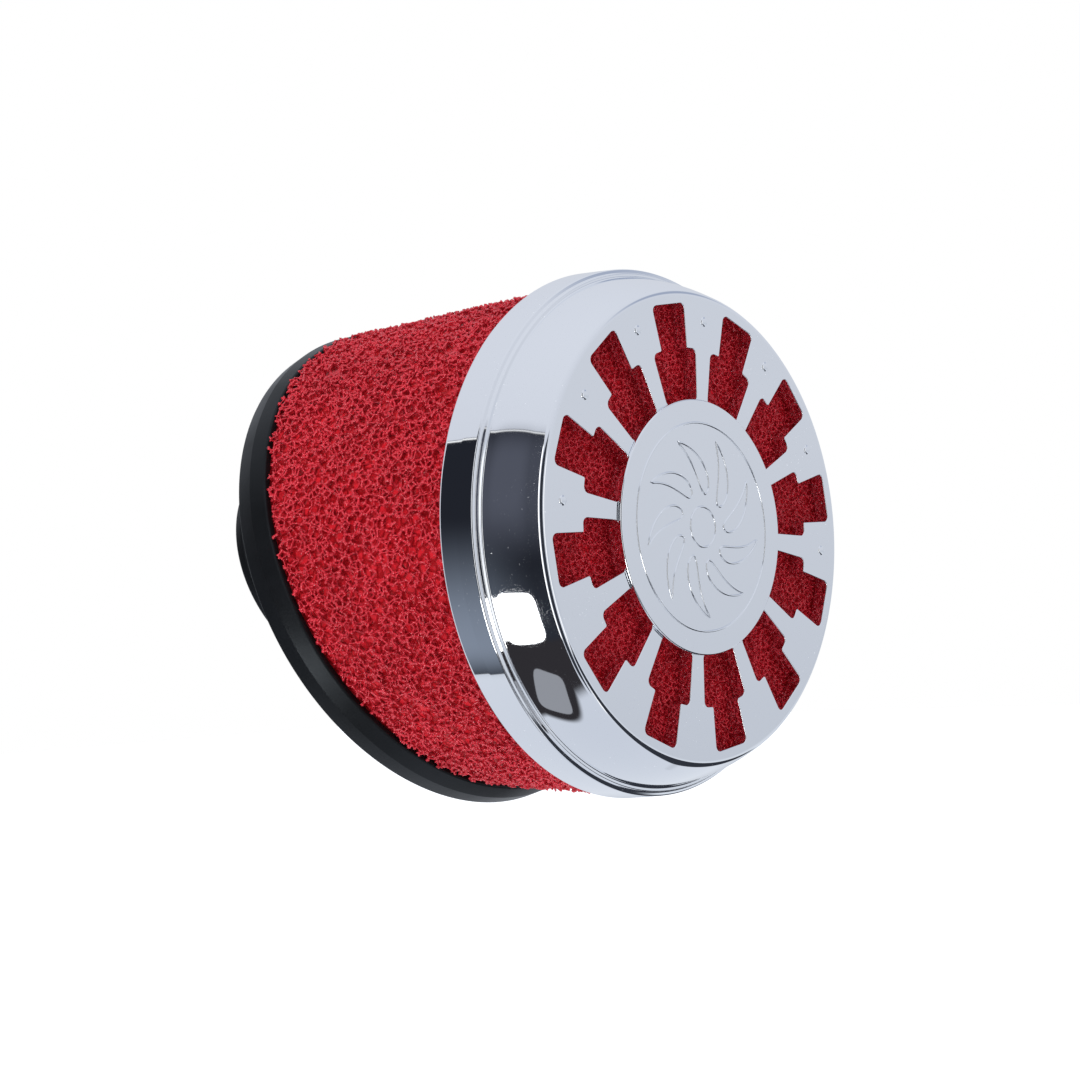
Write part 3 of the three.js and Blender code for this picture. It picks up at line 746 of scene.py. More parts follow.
class FoamCells:
    """The strut network of a foam tile: windows between cells, nodes, and struts between nodes."""

    def __init__(self):
        places, cells, repeats, seeds = foam_tile()
        size = np.array([TILE, TILE, TILE_DEPTH])
        count = len(seeds)
        self.places = places
        centres = seeds[cells] + repeats * size
        pair_keys, pair_origins = [], []
        for p, q in PAIRS:
            key, _, origin = keyed(cells[:, [p, q]], repeats[:, [p, q]], count)
            pair_keys.append(key)
            pair_origins.append(origin * size)
        keys, origins = np.stack(pair_keys, 1), np.stack(pair_origins, 1)
        _, window = np.unique(keys.ravel(), return_inverse=True)
        window = window.ravel()
        relative = (places[:, None] - origins).reshape(-1, 3)
        shares = np.bincount(window)[:, None]
        middle = np.stack([np.bincount(window, relative[:, k]) for k in range(3)], 1) / shares
        spoke = relative - middle[window]
        reach = np.linalg.norm(spoke, axis=1)
        mean_reach = (np.bincount(window, reach) / shares[:, 0])[window]
        rounder = 0.45 * reach + 0.55 * mean_reach
        open_reach = np.maximum(rounder - 1.2 * STRUT, 0.25 * mean_reach)
        corner = middle[window] + spoke * (open_reach / np.maximum(reach, 1e-6))[:, None]
        self.windows = corner.reshape(-1, 6, 3) + origins
        self.node_faces = self._node_faces(centres)
        self._link_struts(cells, repeats, centres, count, size)

    def _node_faces(self, centres):
        """Each node's four triangles, one towards each of its cells."""
        faces = np.zeros((len(self.places), 4, 3), int)
        for m in range(4):
            ring = PAIR_NUMBER[m, [k for k in range(4) if k != m]]
            corners = self.windows[:, ring]
            normal = np.cross(corners[:, 1] - corners[:, 0], corners[:, 2] - corners[:, 0])
            facing = ((centres[:, m] - corners.mean(1)) * normal).sum(1) > 0
            faces[:, m] = np.where(facing[:, None], ring, ring[::-1])
        return faces

    def _link_struts(self, cells, repeats, centres, count, size):
        """Pairs up the nodes that share three cells, and lists the faces of the strut between."""
        keys, origins, corners = [], [], []
        for left_out in range(4):
            rest = [k for k in range(4) if k != left_out]
            key, order, origin = keyed(cells[:, rest], repeats[:, rest], count)
            keys.append(key)
            origins.append(origin)
            corners.append(np.array(rest)[order])
        node = np.tile(np.arange(len(cells)), 4)
        keys, origins, corners = (np.concatenate(x) for x in (keys, origins, corners))
        order = np.argsort(keys, kind="stable")
        same = keys[order][1:] == keys[order][:-1]
        alone = np.ones(len(keys), bool)
        alone[order[1:][same]] = alone[order[:-1][same]] = False
        first, second = order[:-1][same], order[1:][same]
        self.start, self.end = node[first], node[second]
        self.shift = origins[first] - origins[second]
        sides = [(0, 1), (1, 2), (0, 2)]
        self.start_windows = np.stack(
            [PAIR_NUMBER[corners[first, a], corners[first, b]] for a, b in sides], 1)
        self.end_windows = np.stack(
            [PAIR_NUMBER[corners[second, a], corners[second, b]] for a, b in sides], 1)
        near = np.take_along_axis(self.windows[self.start], self.start_windows[:, :, None], 1)
        far = np.take_along_axis(self.windows[self.end], self.end_windows[:, :, None], 1)
        far = far + (self.shift * size)[:, None]
        # Three sides: each faces one cell and runs between the two windows of that cell.
        self.quads = np.zeros((len(first), 3, 4, 2), int)
        for side, (a, b) in enumerate(((0, 2), (0, 1), (1, 2))):
            middle = (near[:, a] + near[:, b] + far[:, a] + far[:, b]) / 4
            normal = np.cross(far[:, a] - near[:, a], near[:, b] - near[:, a])
            cell = centres[self.start, corners[first, side]]
            facing = ((cell - middle) * normal).sum(1) > 0
            ring = np.array([(0, a), (1, a), (1, b), (0, b)])
            self.quads[:, side] = np.where(facing[:, None, None], ring, ring[::-1])
        # A node whose strut found no partner is closed where that strut would start.
        self.plug_node = node[alone]
        ring = np.stack([PAIR_NUMBER[corners[alone, a], corners[alone, b]] for a, b in sides], 1)
        rim = np.take_along_axis(self.windows[self.plug_node], ring[:, :, None], 1)
        outward = rim.mean(1) - self.places[self.plug_node]
        normal = np.cross(rim[:, 1] - rim[:, 0], rim[:, 2] - rim[:, 0])
        self.plugs = np.where(((normal * outward).sum(1) > 0)[:, None], ring, ring[:, ::-1])
        along = far.mean(1) - near.mean(1)
        cap_normal = np.cross(near[:, 1] - near[:, 0], near[:, 2] - near[:, 0])
        forward = (along * cap_normal).sum(1) > 0
        self.cap = np.where(forward[:, None], [0, 1, 2], [2, 1, 0])

    def net(self, columns, rows, wrapped, keep, to_surface, mirrored, stub_limit):
        """Copies of the tile laid side by side and bent to a surface, as one part per column.

        keep(places) says which nodes stay. A strut that leaves them is cut off short, and one
        that rises to the surface ends at stub_limit. A mirrored bend has its faces turned over.
        """
        tiles = np.array([(i, j) for i in range(columns) for j in range(rows)])
        offsets = np.concatenate([tiles * TILE, np.zeros((len(tiles), 1))], 1)
        nodes = len(self.places)
        kept = keep(self.places[None] + offsets[:, None])
        sector = np.where(kept, tiles[:, :1], -1)
        windows = self.windows[None] + offsets[:, None, None]
        target = tiles[:, None] + self.shift[None, :, :2]
        reach = offsets[:, None] + (self.shift * (TILE, TILE, TILE_DEPTH))[None]
        if wrapped:
            target[:, :, 0] %= columns
        exists = ((target >= 0) & (target < (columns, rows))).all(2) & (self.shift[None, :, 2] == 0)
        target_tile = np.where(exists, target[:, :, 0] * rows + target[:, :, 1], 0)
        end_node = target_tile * nodes + self.end[None]
        start_node = np.arange(len(tiles))[:, None] * nodes + self.start[None]
        flat_sector = sector.ravel()
        start_sector = flat_sector[start_node]
        end_sector = np.where(exists, flat_sector[end_node], -1)
        parts = []
        for number in range(sector.max() + 1):
            parts.append(self._sector(number, windows, sector, start_node, end_node, start_sector,
                                      end_sector, reach, to_surface, mirrored, stub_limit))
        return parts

    def _sides(self, struts, start_corner, end_corner):
        """The quads of the struts' three sides, between the corners of their two ends."""
        both = np.stack([start_corner, end_corner], 1)
        shape = self.quads[struts]
        return both[np.arange(len(struts))[:, None, None], shape[..., 0], shape[..., 1]]

    def _sector(self, number, windows, sector, start_node, end_node, start_sector, end_sector,
                reach, to_surface, mirrored, stub_limit):
        """One column's part: its nodes, whole struts, and the stubs of struts that leave it."""
        tile_number, node = np.nonzero(sector == number)
        nodes = windows.shape[1]
        triangles = [((tile_number * nodes + node) * 6)[:, None, None] + self.node_faces[node]]
        plug_tile, plug = np.nonzero(sector[:, self.plug_node] == number)
        plug_start = (plug_tile * nodes + self.plug_node[plug]) * 6
        triangles.append((plug_start[:, None] + self.plugs[plug])[:, None])
        quads = []
        t, e = np.nonzero((start_sector == number) & (end_sector == number))
        start_corner = start_node[t, e][:, None] * 6 + self.start_windows[e]
        end_corner = end_node[t, e][:, None] * 6 + self.end_windows[e]
        quads.append(self._sides(e, start_corner, end_corner))
        extra, count = [], windows.shape[0] * nodes * 6
        for side in (0, 1):
            mine, other = (start_sector, end_sector) if side == 0 else (end_sector, start_sector)
            t, e = np.nonzero((mine == number) & (other != number))
            near = windows[t[:, None], self.start[e][:, None], self.start_windows[e]]
            far = self.windows[self.end[e][:, None], self.end_windows[e]] + reach[t, e][:, None]
            here, there = (near, far) if side == 0 else (far, near)
            share = rng.uniform(0.12, 0.4, len(e))
            rise = here[..., 2].mean(1) - there[..., 2].mean(1)
            room = here[..., 2].mean(1) - stub_limit
            longest = np.maximum(room / np.maximum(rise, 1e-6), 0.1)
            share = np.where(rise > 1e-6, np.minimum(share, longest), share)
            share = np.where(other[t, e] >= 0, 0.5, share)
            tip = here + (there - here) * share[:, None, None]
            if side == 0:
                root = start_node[t, e][:, None] * 6 + self.start_windows[e]
            else:
                root = end_node[t, e][:, None] * 6 + self.end_windows[e]
            tip_corner = count + np.arange(len(e))[:, None] * 3 + np.arange(3)
            ends = (root, tip_corner) if side == 0 else (tip_corner, root)
            quads.append(self._sides(e, *ends))
            cap = np.take_along_axis(tip_corner, self.cap[e] if side == 0 else self.cap[e][:, ::-1], 1)
            triangles.append(cap[:, None])
            extra.append(tip.reshape(-1, 3))
            count += len(e) * 3
        quads = np.concatenate([q.reshape(-1, 4) for q in quads])
        triangles = np.concatenate([x.reshape(-1, 3) for x in triangles])
        if mirrored:
            quads, triangles = quads[:, ::-1], triangles[:, ::-1]
        points = np.concatenate([windows.reshape(-1, 3), *extra])
        used, index = np.unique(np.concatenate([quads.ravel(), triangles.ravel()]), return_inverse=True)
        index = index.ravel()
        split = quads.size
        return to_surface(points[used]), index[:split].reshape(-1, 4), index[split:].reshape(-1, 3)


# ---------------------------------------------------------------- foam pieces

SLEEVE_COLUMNS, SLEEVE_ROWS = 10, 3
SLEEVE_TURN = SLEEVE_COLUMNS * TILE
SLEEVE_START = FACE_Y + SKIRT_DEPTH - 2.0
SURFACE_LEVEL = 1.6                # the foam's cut surface, inside the tile's depth
NET_DEPTH = 2.0                    # how deep the open network goes
CORE_DEPTH = 1.25                  # the dense core starts this far below the cut surface


def sleeve_point(angle, y, inward):
    """A point of the sleeve at a depth below its surface, y measured in the part's frame."""
    front_y = FACE_Y + SKIRT_DEPTH + 1.2
    up = SLEEVE_BACK * np.sin(angle)
    back_y = RIM_CENTRE[1] - (LIP_HEIGHT + 1.4) * COS_TILT + up * SIN_TILT
    back_z = RIM_CENTRE[2] + (LIP_HEIGHT + 1.4) * SIN_TILT + up * COS_TILT
    share = (y - front_y) / (back_y - front_y)
    x = np.cos(angle) * (SLEEVE_FRONT + (SLEEVE_BACK - SLEEVE_FRONT) * share - inward)
    front_z = AXIS_Z - SLEEVE_SAG + SLEEVE_FRONT * np.sin(angle)
    z = front_z + (back_z - front_z) * share - np.sin(angle) * inward
    return np.stack([x, y, z], -1)


def lip_plane(angle, radius):
    """y of the lip's front edge."""
    return RIM_CENTRE[1] - LIP_HEIGHT * COS_TILT + radius * np.sin(angle) * SIN_TILT


def keep_in_sleeve(places):
    """Nodes between the skirt and the lip's front edge, and deeper ones a little under the lip."""
    angle = places[..., 0] / SLEEVE_TURN * 2 * math.pi
    y = places[..., 1] + SLEEVE_START
    depth = places[..., 2] - SURFACE_LEVEL
    behind = y - lip_plane(angle, 44.5)
    under_lip = (depth > 1.5) & (behind < 1.5)
    return (depth > 0) & (depth < NET_DEPTH) & (y > SLEEVE_START + 1.0) & ((behind < -0.3) | under_lip)


def place_in_sleeve(points):
    """Wraps the flat net round the sleeve, whose surface swells and sinks a little."""
    angle = points[:, 0] / SLEEVE_TURN * 2 * math.pi
    depth = points[:, 2] - SURFACE_LEVEL
    swell = 0.22 * np.sin(3 * angle + 1) + 0.15 * np.sin(7 * angle + points[:, 1] * 0.1)
    return sleeve_point(angle, points[:, 1] + SLEEVE_START, depth - swell)


FINE = 0.66                        # the front disc's cells against the sleeve's
DISC_TILES = 5
FINE_DEPTH = 1.15                  # how deep the disc's network goes
DISC_NET = DISC_FRONT - 0.25       # where the disc's network starts, behind the face plate
DISC_NET_INNER = 19.6
DISC_EDGE = 38.7                   # the pressed disc spreads past the outer ends of the slots


def fine_place(points):
    """The flat net at the disc's scale: x, depth and z about the cap's axis."""
    middle = DISC_TILES * TILE / 2
    x, z = (points[..., 0] - middle) * FINE, (points[..., 1] - middle) * FINE
    return x, (points[..., 2] - SURFACE_LEVEL) * FINE, z


def keep_in_disc(places):
    """Nodes that can be seen through the slots: from just inside them to the disc's edge."""
    x, depth, z = fine_place(places)
    radius = np.hypot(x, z)
    return (depth > 0) & (depth < FINE_DEPTH) & (radius > DISC_NET_INNER) & (radius < DISC_EDGE)


def place_in_disc(points):
    x, depth, z = fine_place(points)
    return cap_frame(np.stack([x, depth + DISC_NET, z], 1))


def skin(rings, segments):
    """A closed tube-like body over rings of (centre y, centre z, tilt, radius across, radius up)."""
    angles = np.linspace(0, 2 * math.pi, segments, endpoint=False)
    points = []
    for y, z, tilt, across, high in rings:
        up = high * np.sin(angles)
        side = across * np.cos(angles)
        points.append(np.stack([side, y + up * math.sin(tilt), z + up * math.cos(tilt)], 1))
    return np.concatenate(points), grid_faces(len(rings), segments, close_rows=True)


def filled_in(corners, steps):
    """Rows that lead from each corner to the next in a number of steps, and back to the first."""
    rows = []
    for number, count in enumerate(steps):
        first, last = np.array(corners[number]), np.array(corners[(number + 1) % len(corners)])
        rows += [tuple(first + (last - first) * k / count) for k in range(count)]
    return rows


def square_ring(depth, radius, sag=0.0):
    """A ring square to the cap's axis, at a depth behind its face."""
    return (FACE_Y + depth, AXIS_Z - sag, 0.0, radius, radius)


def tilted_ring(y, radius, up=0.0, high=None):
    """A ring in the base's tilted plane at y; high is its upward radius where it is an ellipse."""
    centre = base_frame([[0, y, up]])[0]
    return (centre[1], centre[2], TILT, radius, radius if high is None else high)


def slanted_ring(y, radius):
    """Where a cylinder about the cap's axis meets the base's tilted plane at y."""
    along = (y + AXIS_ABOVE_RIM * SIN_TILT) / COS_TILT
    return tilted_ring(y, radius, along * SIN_TILT + AXIS_ABOVE_RIM * COS_TILT, radius / COS_TILT)


def roughened(points, amount, grain):
    """Points pushed about by smooth noise, so that cut foam doesn't look turned."""
    wobble = np.zeros_like(points)
    for axis in range(3):
        for octave in (1, 2.1):
            phase = rng.uniform(0, 6.28, 3)
            wave = np.sin(points * (2 * math.pi / grain * octave) + phase)
            wobble[:, axis] += wave[:, (axis + 1) % 3] * wave[:, (axis + 2) % 3] / octave
    return points + wobble * amount


def build_sleeve(cells):
    """The coarse outer sleeve: an open network of struts over a dense core of the same foam."""
    parts = cells.net(
        SLEEVE_COLUMNS, SLEEVE_ROWS, True, keep_in_sleeve, place_in_sleeve, False, SURFACE_LEVEL - 0.2)
    for i, (points, quads, triangles) in enumerate(parts):
        net = make_piece(f"foam_sleeve_net_{i + 1}", points, (quads, triangles), "filter",
                         FOAM_STRUT)
    front = square_ring(SKIRT_DEPTH + 1.2, SLEEVE_FRONT - CORE_DEPTH, SLEEVE_SAG)
    back = tilted_ring(-LIP_HEIGHT - 1.4, SLEEVE_BACK - CORE_DEPTH)
    corners = [
        square_ring(11.5, SPLIT_RADIUS + 0.3),
        square_ring(11.5, 41.5),
        front,
        back,
        tilted_ring(FOAM_SEAT, LIP_INNER - 1.0),
        slanted_ring(FOAM_SEAT, SPLIT_RADIUS + 0.3),
    ]
    points, faces = skin(filled_in(corners, (4, 6, 60, 6, 4, 40)), 360)
    core = make_piece("foam_sleeve_core", roughened(points, 0.14, 2.4), (faces[:, ::-1],), "filter",
                      FOAM_CORE)
    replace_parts(core, "foam_outer_sleeve")


def build_inner_foam(cells):
    """The fine inner sleeve, seen through the neck, and the fine disc behind the slots."""
    corners = [
        square_ring(DISC_BACK + 1, 30.5),
        square_ring(DISC_BACK + 1, SPLIT_RADIUS - 0.1),
        slanted_ring(FOAM_SEAT, SPLIT_RADIUS - 0.1),
        slanted_ring(FOAM_SEAT, 30.5),
    ]
    points, faces = skin(filled_in(corners, (6, 50, 6, 70)), 300)
    sleeve = make_piece("foam_inner_wall", roughened(points, 0.07, 1.7), (faces[:, ::-1],), "filter",
                        FINE_CORE)
    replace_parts(sleeve, "foam_inner_sleeve")
    parts = cells.net(
        DISC_TILES, DISC_TILES, False, keep_in_disc, place_in_disc, True, SURFACE_LEVEL - 0.35)
    for i, (points, quads, triangles) in enumerate(parts):
        net = make_piece(f"foam_disc_net_{i + 1}", points, (quads, triangles), "cap", FINE_STRUT)
    inner = WELL_RADIUS + 2.3
    front = DISC_NET + FINE_DEPTH * 0.72
    corners = [(inner, DISC_BACK), (inner, front), (DISC_EDGE, front), (DISC_EDGE, DISC_BACK)]
    outline = np.array(filled_in(corners, (1, 60, 1, 40)))
    points, _, _ = turned(outline, outline, 260)
    faces = grid_faces(len(outline), 260, close_rows=True)
    core = make_piece("foam_disc_core", roughened(cap_frame(points), 0.07, 1.6), (faces[:, ::-1],), "cap",
                      FINE_CORE, sharp=60)
    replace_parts(core, "foam_front_disc")


# ---------------------------------------------------------------- rubber base


def build_rubber():
    """The moulded base: lip over the foam, two-facet rim, dished back and offset neck."""
    outline, _, offsets = rounded([
        (43.7, -LIP_HEIGHT, 0.3, 0),
        (45.0, -LIP_HEIGHT, 0.5, 0),
        (45.9, -3.2, 0.35, 0),
        (RIM_RADIUS, 0, 0.4, 0),
        (43.0, 2.2, 1.5, 0.2),
        (38.5, 4.5, 3, 1.6),
        (30.5, 7.0, 3, 6.2),
        (24.0, 9.2, 1.5, 10.0),
        (NECK_OUTER, 10.9, 1.2, NECK_OFFSET),
        (NECK_OUTER, 23.6, 0.5, NECK_OFFSET),
        (BEAD_RADIUS, 24.6, 0.6, NECK_OFFSET),
        (BEAD_RADIUS, 26.4, 0.6, NECK_OFFSET),
        (21.4, NECK_LENGTH, 0.5, NECK_OFFSET),
        (NECK_BORE, NECK_LENGTH, 0.6, NECK_OFFSET),
        (NECK_BORE, 10.0, 1.5, NECK_OFFSET),
        (19.8, 7.5, 1.0, 10.3),
        (22.4, 4.0, 1.5, 7.6),
        (24.8, 1.2, 1.0, 4.6),
        (25.6, FLOOR_Y, 0.3, 3.6),
        (LIP_INNER, FLOOR_Y, 0.4, 0),
    ], 6, closed=True)
    rings = [(y, offset, 0.0, radius, radius) for (radius, y), offset in zip(outline, offsets)]
    points, faces = skin(rings, 256)
    base = make_piece("base_moulding", base_frame(points), (faces[:, ::-1],), "filter", RUBBER,
                      sharp=40)
    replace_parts(base, "base_rubber")


# ---------------------------------------------------------------- hose clamp


SLOT_PITCH = 1.9
SLOT_HALF_WIDTH = 0.42
SLOT_LEAN = 0.16


def perforated_strip(inner, outer, width, start, end, slot_half_length):
    """A bent strip with slanted slots, from one angle to another in radians.

    Each slot lies in a four-cornered cell, and neighbouring cells share an edge.
    """
    count = round((end - start) * inner / SLOT_PITCH)
    step = (end - start) / count
    half = width / 2
    slots = [
        (side * SLOT_HALF_WIDTH, tip * slot_half_length)
        for side, tip in ((-1, -1), (1, -1), (1, 1), (-1, 1))
    ]
    points, faces = [], []

    def add(angle, across, radius):
        points.append((radius * math.cos(angle), across, radius * math.sin(angle)))
        return len(points) - 1

    edges = [
        [add(start + k * step, side * half, radius) for side in (-1, 1) for radius in (outer, inner)]
        for k in range(count + 1)
    ]
    for k in range(count):
        middle = start + (k + 0.5) * step
        holes = [
            [add(middle + (along + SLOT_LEAN * across) / inner, across, radius) for along, across in slots]
            for radius in (outer, inner)
        ]
        low_out, low_in, high_out, high_in = edges[k]
        next_low_out, next_low_in, next_high_out, next_high_in = edges[k + 1]
        rims = [
            [low_out, next_low_out, next_high_out, high_out],
            [low_in, next_low_in, next_high_in, high_in],
        ]
        for rim, hole, order in ((rims[0], holes[0], 1), (rims[1], holes[1], -1)):
            for i in range(4):
                j = (i + 1) % 4
                faces.append([rim[i], rim[j], hole[j], hole[i]][::order])
        for i in range(4):
            j = (i + 1) % 4
            faces.append([holes[0][i], holes[0][j], holes[1][j], holes[1][i]])
        faces.append([low_out, low_in, next_low_in, next_low_out])
        faces.append([high_out, next_high_out, next_high_in, high_in])
    return np.array(points), [face[::-1] for face in faces], edges


def clamp_place(points):
    """Points about the clamp's middle plane on the neck's axis."""
    return neck_frame(np.asarray(points, float) + np.array([0, CLAMP_CENTRE, 0]))


def build_band():
    """The band: a closed perforated ring."""
    outer = CLAMP_INNER + CLAMP_THICKNESS
    points, faces, edges = perforated_strip(CLAMP_INNER, outer, CLAMP_WIDTH, 0, 2 * math.pi, 2.9)
    wrap = dict(zip(edges[-1], edges[0]))
    faces = [[wrap.get(i, i) for i in face] for face in faces]
    band = make_piece("clamp_band_perforated", clamp_place(points), faces, "filter", CLAMP_STEEL,
                      sharp=30)
    remove_loose(band)
    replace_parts(band, "clamp_band")


def build_tail():
    """The band's loose end, which the worm screw draws through the housing."""
    inner = CLAMP_INNER + CLAMP_THICKNESS + 0.3
    points, faces, edges = perforated_strip(
        inner, inner + CLAMP_THICKNESS, TAIL_WIDTH, math.radians(TAIL_FROM), math.radians(TAIL_TO), 2.6)
    first, last = edges[0], edges[-1]
    faces.append([first[1], first[3], first[2], first[0]])
    faces.append([last[2], last[3], last[1], last[0]])
    tail = make_piece("clamp_tail_perforated", clamp_place(points), faces, "tail", CLAMP_STEEL,
                      sharp=30)
    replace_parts(tail, "clamp_tail")


def remove_loose(piece):
    """Takes away the points that no face uses."""
    mesh = bmesh.new()
    mesh.from_mesh(piece.data)
    bmesh.ops.delete(mesh, geom=[v for v in mesh.verts if not v.link_faces], context="VERTS")
    mesh.to_mesh(piece.data)
    mesh.free()


def build_worm():
    """The worm screw: a threaded barrel, a collar, and a flanged hexagon head with a slot."""
    segments, turns = 32, WORM_LENGTH / WORM_PITCH
    rows = int(turns * 12)
    angles = np.linspace(0, 2 * math.pi, segments, endpoint=False)
    barrel = []
    for k in range(rows + 1):
        y = -WORM_LENGTH / 2 + WORM_LENGTH * k / rows
        phase = (y / WORM_PITCH - angles / (2 * math.pi)) % 1.0
        crest = np.clip(1.6 - np.abs(phase - 0.5) * 6, 0, 1)
        fade = min(1.0, (WORM_LENGTH / 2 - abs(y)) / 0.8)
        radius = WORM_RADIUS - 0.65 + 0.63 * crest * fade
        barrel.append(np.stack([radius * np.cos(angles), np.full(segments, y), radius * np.sin(angles)], 1))
    points = np.concatenate(barrel)
    faces = [list(map(int, face)) for face in grid_faces(rows + 1, segments)]
    faces.append(list(range(segments)))
    faces.append([rows * segments + k for k in range(segments)][::-1])
    start = WORM_LENGTH / 2
    collar, collar_normals, _ = rounded([
        (0.0, start - 0.2, 0),
        (2.0, start - 0.2, 0),
        (2.0, start + 1.25, 0.1),
        (0.0, start + 1.25, 0),
    ], 3)
    collar_points, collar_faces, _ = turned(collar, -collar_normals, 32)
    collar_points, collar_faces, _ = welded(collar_points, collar_faces, np.zeros_like(collar_points))
    head_points, head_faces = hex_head(start + 1.2)
    points, faces = joined([(points, faces), (collar_points, collar_faces), (head_points, head_faces)])
    # The screw lies beside the neck, at right angles to it, with its head up.
    upright = np.stack([points[:, 0] + WORM_AXIS, -points[:, 2], points[:, 1]], 1)
    worm = make_piece("clamp_worm_screw", clamp_place(upright), faces, "screw", ZINC, sharp=35)
    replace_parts(worm, "clamp_screw")


def hex_head(start):
    """A hexagon head with a thin round flange, a chamfered top and a driver's slot."""
    mesh = bmesh.new()
    levels = [
        (0, SCREW_HEAD),
        (FLANGE, SCREW_HEAD),
        (FLANGE, 3.55),
        (SCREW_HEAD_LENGTH - 0.5, 3.55),
        (SCREW_HEAD_LENGTH, 3.0),
    ]
    segments = 48
    rings = []
    for level, (y, radius) in enumerate(levels):
        ring = []
        for k in range(segments):
            angle = 2 * math.pi * k / segments
            if level < 2:
                reach = radius
            else:
                turn = (angle + math.pi / 6) % (math.pi / 3) - math.pi / 6
                reach = min(radius, HEXAGON / math.cos(turn))
            ring.append(mesh.verts.new((reach * math.cos(angle), start + y, reach * math.sin(angle))))
        rings.append(ring)
    for lower, upper in zip(rings[:-1], rings[1:]):
        for k in range(segments):
            j = (k + 1) % segments
            mesh.faces.new((lower[k], upper[k], upper[j], lower[j]))
    mesh.faces.new(rings[0])
    top = rings[-1]
    # The slot runs across the top: its floor is sunk, and the flat top is left on either side.
    half = DRIVER_SLOT / 2
    ends = []
    for side in (1, -1):
        upper = [v for v in top if abs(v.co.x) < half and v.co.z * side > 0]
        upper.sort(key=lambda v: v.co.x)
        deeper = [mesh.verts.new((v.co.x, v.co.y - 1.3, v.co.z)) for v in upper]
        ends.append((upper, deeper))
        for k in range(len(upper) - 1):
            mesh.faces.new((upper[k], upper[k + 1], deeper[k + 1], deeper[k]))
    (above, deep_above), (below, deep_below) = ends
    mesh.faces.new(deep_below + deep_above[::-1])
    for end, side in ((-1, 1), (0, -1)):
        land = [v for v in top if v.co.x * side >= half] + [above[end], below[end]]
        mesh.faces.new(sorted(land, key=lambda v: v.co.z))
        mesh.faces.new((above[end], below[end], deep_below[end], deep_above[end]))
    bmesh.ops.recalc_face_normals(mesh, faces=mesh.faces)
    points = np.array([v.co[:] for v in mesh.verts])
    faces = [[v.index for v in face.verts] for face in mesh.faces]
    mesh.free()
    return points, faces


# ---------------------------------------------------------------- pieces carried over from CAD


def finish_node(name, material, bevel, angle=35):
    """Gives a CAD node its material, soft edges and smooth shading."""
    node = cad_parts[name]
    node.data.materials.clear()
    node.data.materials.append(material)
    node.data.shade_smooth()
    node.data.set_sharp_from_angle(angle=math.radians(angle))
    if bevel:
        modifier = node.modifiers.new("soft_edges", "BEVEL")
        modifier.width = bevel * MM
        modifier.segments = 2
        modifier.limit_method = "ANGLE"
        modifier.angle_limit = math.radians(angle)
        modifier.harden_normals = True


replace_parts(build_cap_shell(), "cap_shell")
face_pips()
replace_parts(build_badge(), "cap_badge")
foam = FoamCells()
build_sleeve(foam)
build_inner_foam(foam)
build_rubber()
build_band()
build_tail()
build_worm()
finish_node("clamp_housing", CLAMP_STEEL, 0.12)
finish_node("cap_bolt", ZINC, 0.12)
finish_node("cap_washer", ZINC, 0.08)
finish_node("cage_hub", CAGE, 0.2)
finish_node("base_plate", CAGE, 0.1)
for number in range(1, 5):
    finish_node(f"base_screw_{number}", ZINC, 0.08)
for number in range(1, 7):
    finish_node(f"cage_wire_{number}", CAGE, 0, 50)
for place in ("front", "middle", "rear"):
    finish_node(f"cage_{place}_hoop", CAGE, 0, 50)

# ---------------------------------------------------------------- studio

# What the chrome mirrors, each patch on a far wall of the studio that faces the part: the wall's
# azimuth from +Y towards +X, its elevation and how far it is rolled, in degrees; the patch's left,
# right, low and high edges as shares of the wall's distance; roundness, softness of the edge, and
# colour. Later patches stand in front of earlier ones.
SHADE = (0.016, 0.018, 0.025)
STUDIO = [
    ((116, 36, 0), (-0.34, 0.34), (-0.15, 0.15), 3, 0.5, (0.36, 0.41, 0.53)),
    ((-90, 0, 0), (-0.50, 3.2), (-1.62, 0.935), 14, 0.004, (0.16, 0.17, 0.20)),
    ((-90, 0, 0), (-0.50, 3.2), (-1.62, 0.925), 14, 0.004, (1.1, 1.1, 1.1)),
    ((-90, 0, 0), (-0.50, 3.2), (-1.62, 0.905), 14, 0.008, SHADE),
    ((-90, 0, 0), (-0.25, 0.40), (0.00, 0.85), 4, 0.6, (0.085, 0.092, 0.120)),
    ((-90, 0, 0), (0.45, 2.6), (-1.40, -0.25), 3, 0.8, (0.24, 0.28, 0.35)),
    ((-73, -60, 42), (-0.42, 0.36), (-0.27, 0.36), 5, 0.08, (0.030, 0.028, 0.032)),
    ((-85, -33, -6), (-0.212, 0.232), (-0.19, 0.18), 5, 0.02, (7.0, 7.0, 7.0)),
    ((-69, -65, 42), (-0.19, 0.19), (-0.14, 0.13), 5, 0.02, (0.30, 0.31, 0.34)),
    ((-113, 0, 0), (-0.13, 0.13), (-0.95, 0.72), 8, 0.03, (1.5, 1.5, 1.5)),
    ((-147, 0, 0), (-0.36, 0.36), (-1.60, 0.60), 8, 0.05, (0.030, 0.034, 0.045)),
    ((176, 0, 0), (-0.08, 0.08), (-1.40, 0.30), 8, 0.05, (1.2, 1.2, 1.2)),
    ((115, -50, 0), (-0.60, 1.40), (-0.20, 0.46), 8, 0.06, (0.030, 0.034, 0.045)),
]

# The walls' own shade, from straight down (0) to straight up (1).
WALL_SHADES = [
    (0.0, (0.62, 0.66, 0.74)),
    (0.3, (0.74, 0.78, 0.85)),
    (0.46, (0.56, 0.595, 0.66)),
    (0.54, (0.63, 0.66, 0.72)),
    (0.7, (0.66, 0.69, 0.76)),
    (1.0, (0.72, 0.75, 0.82)),
]


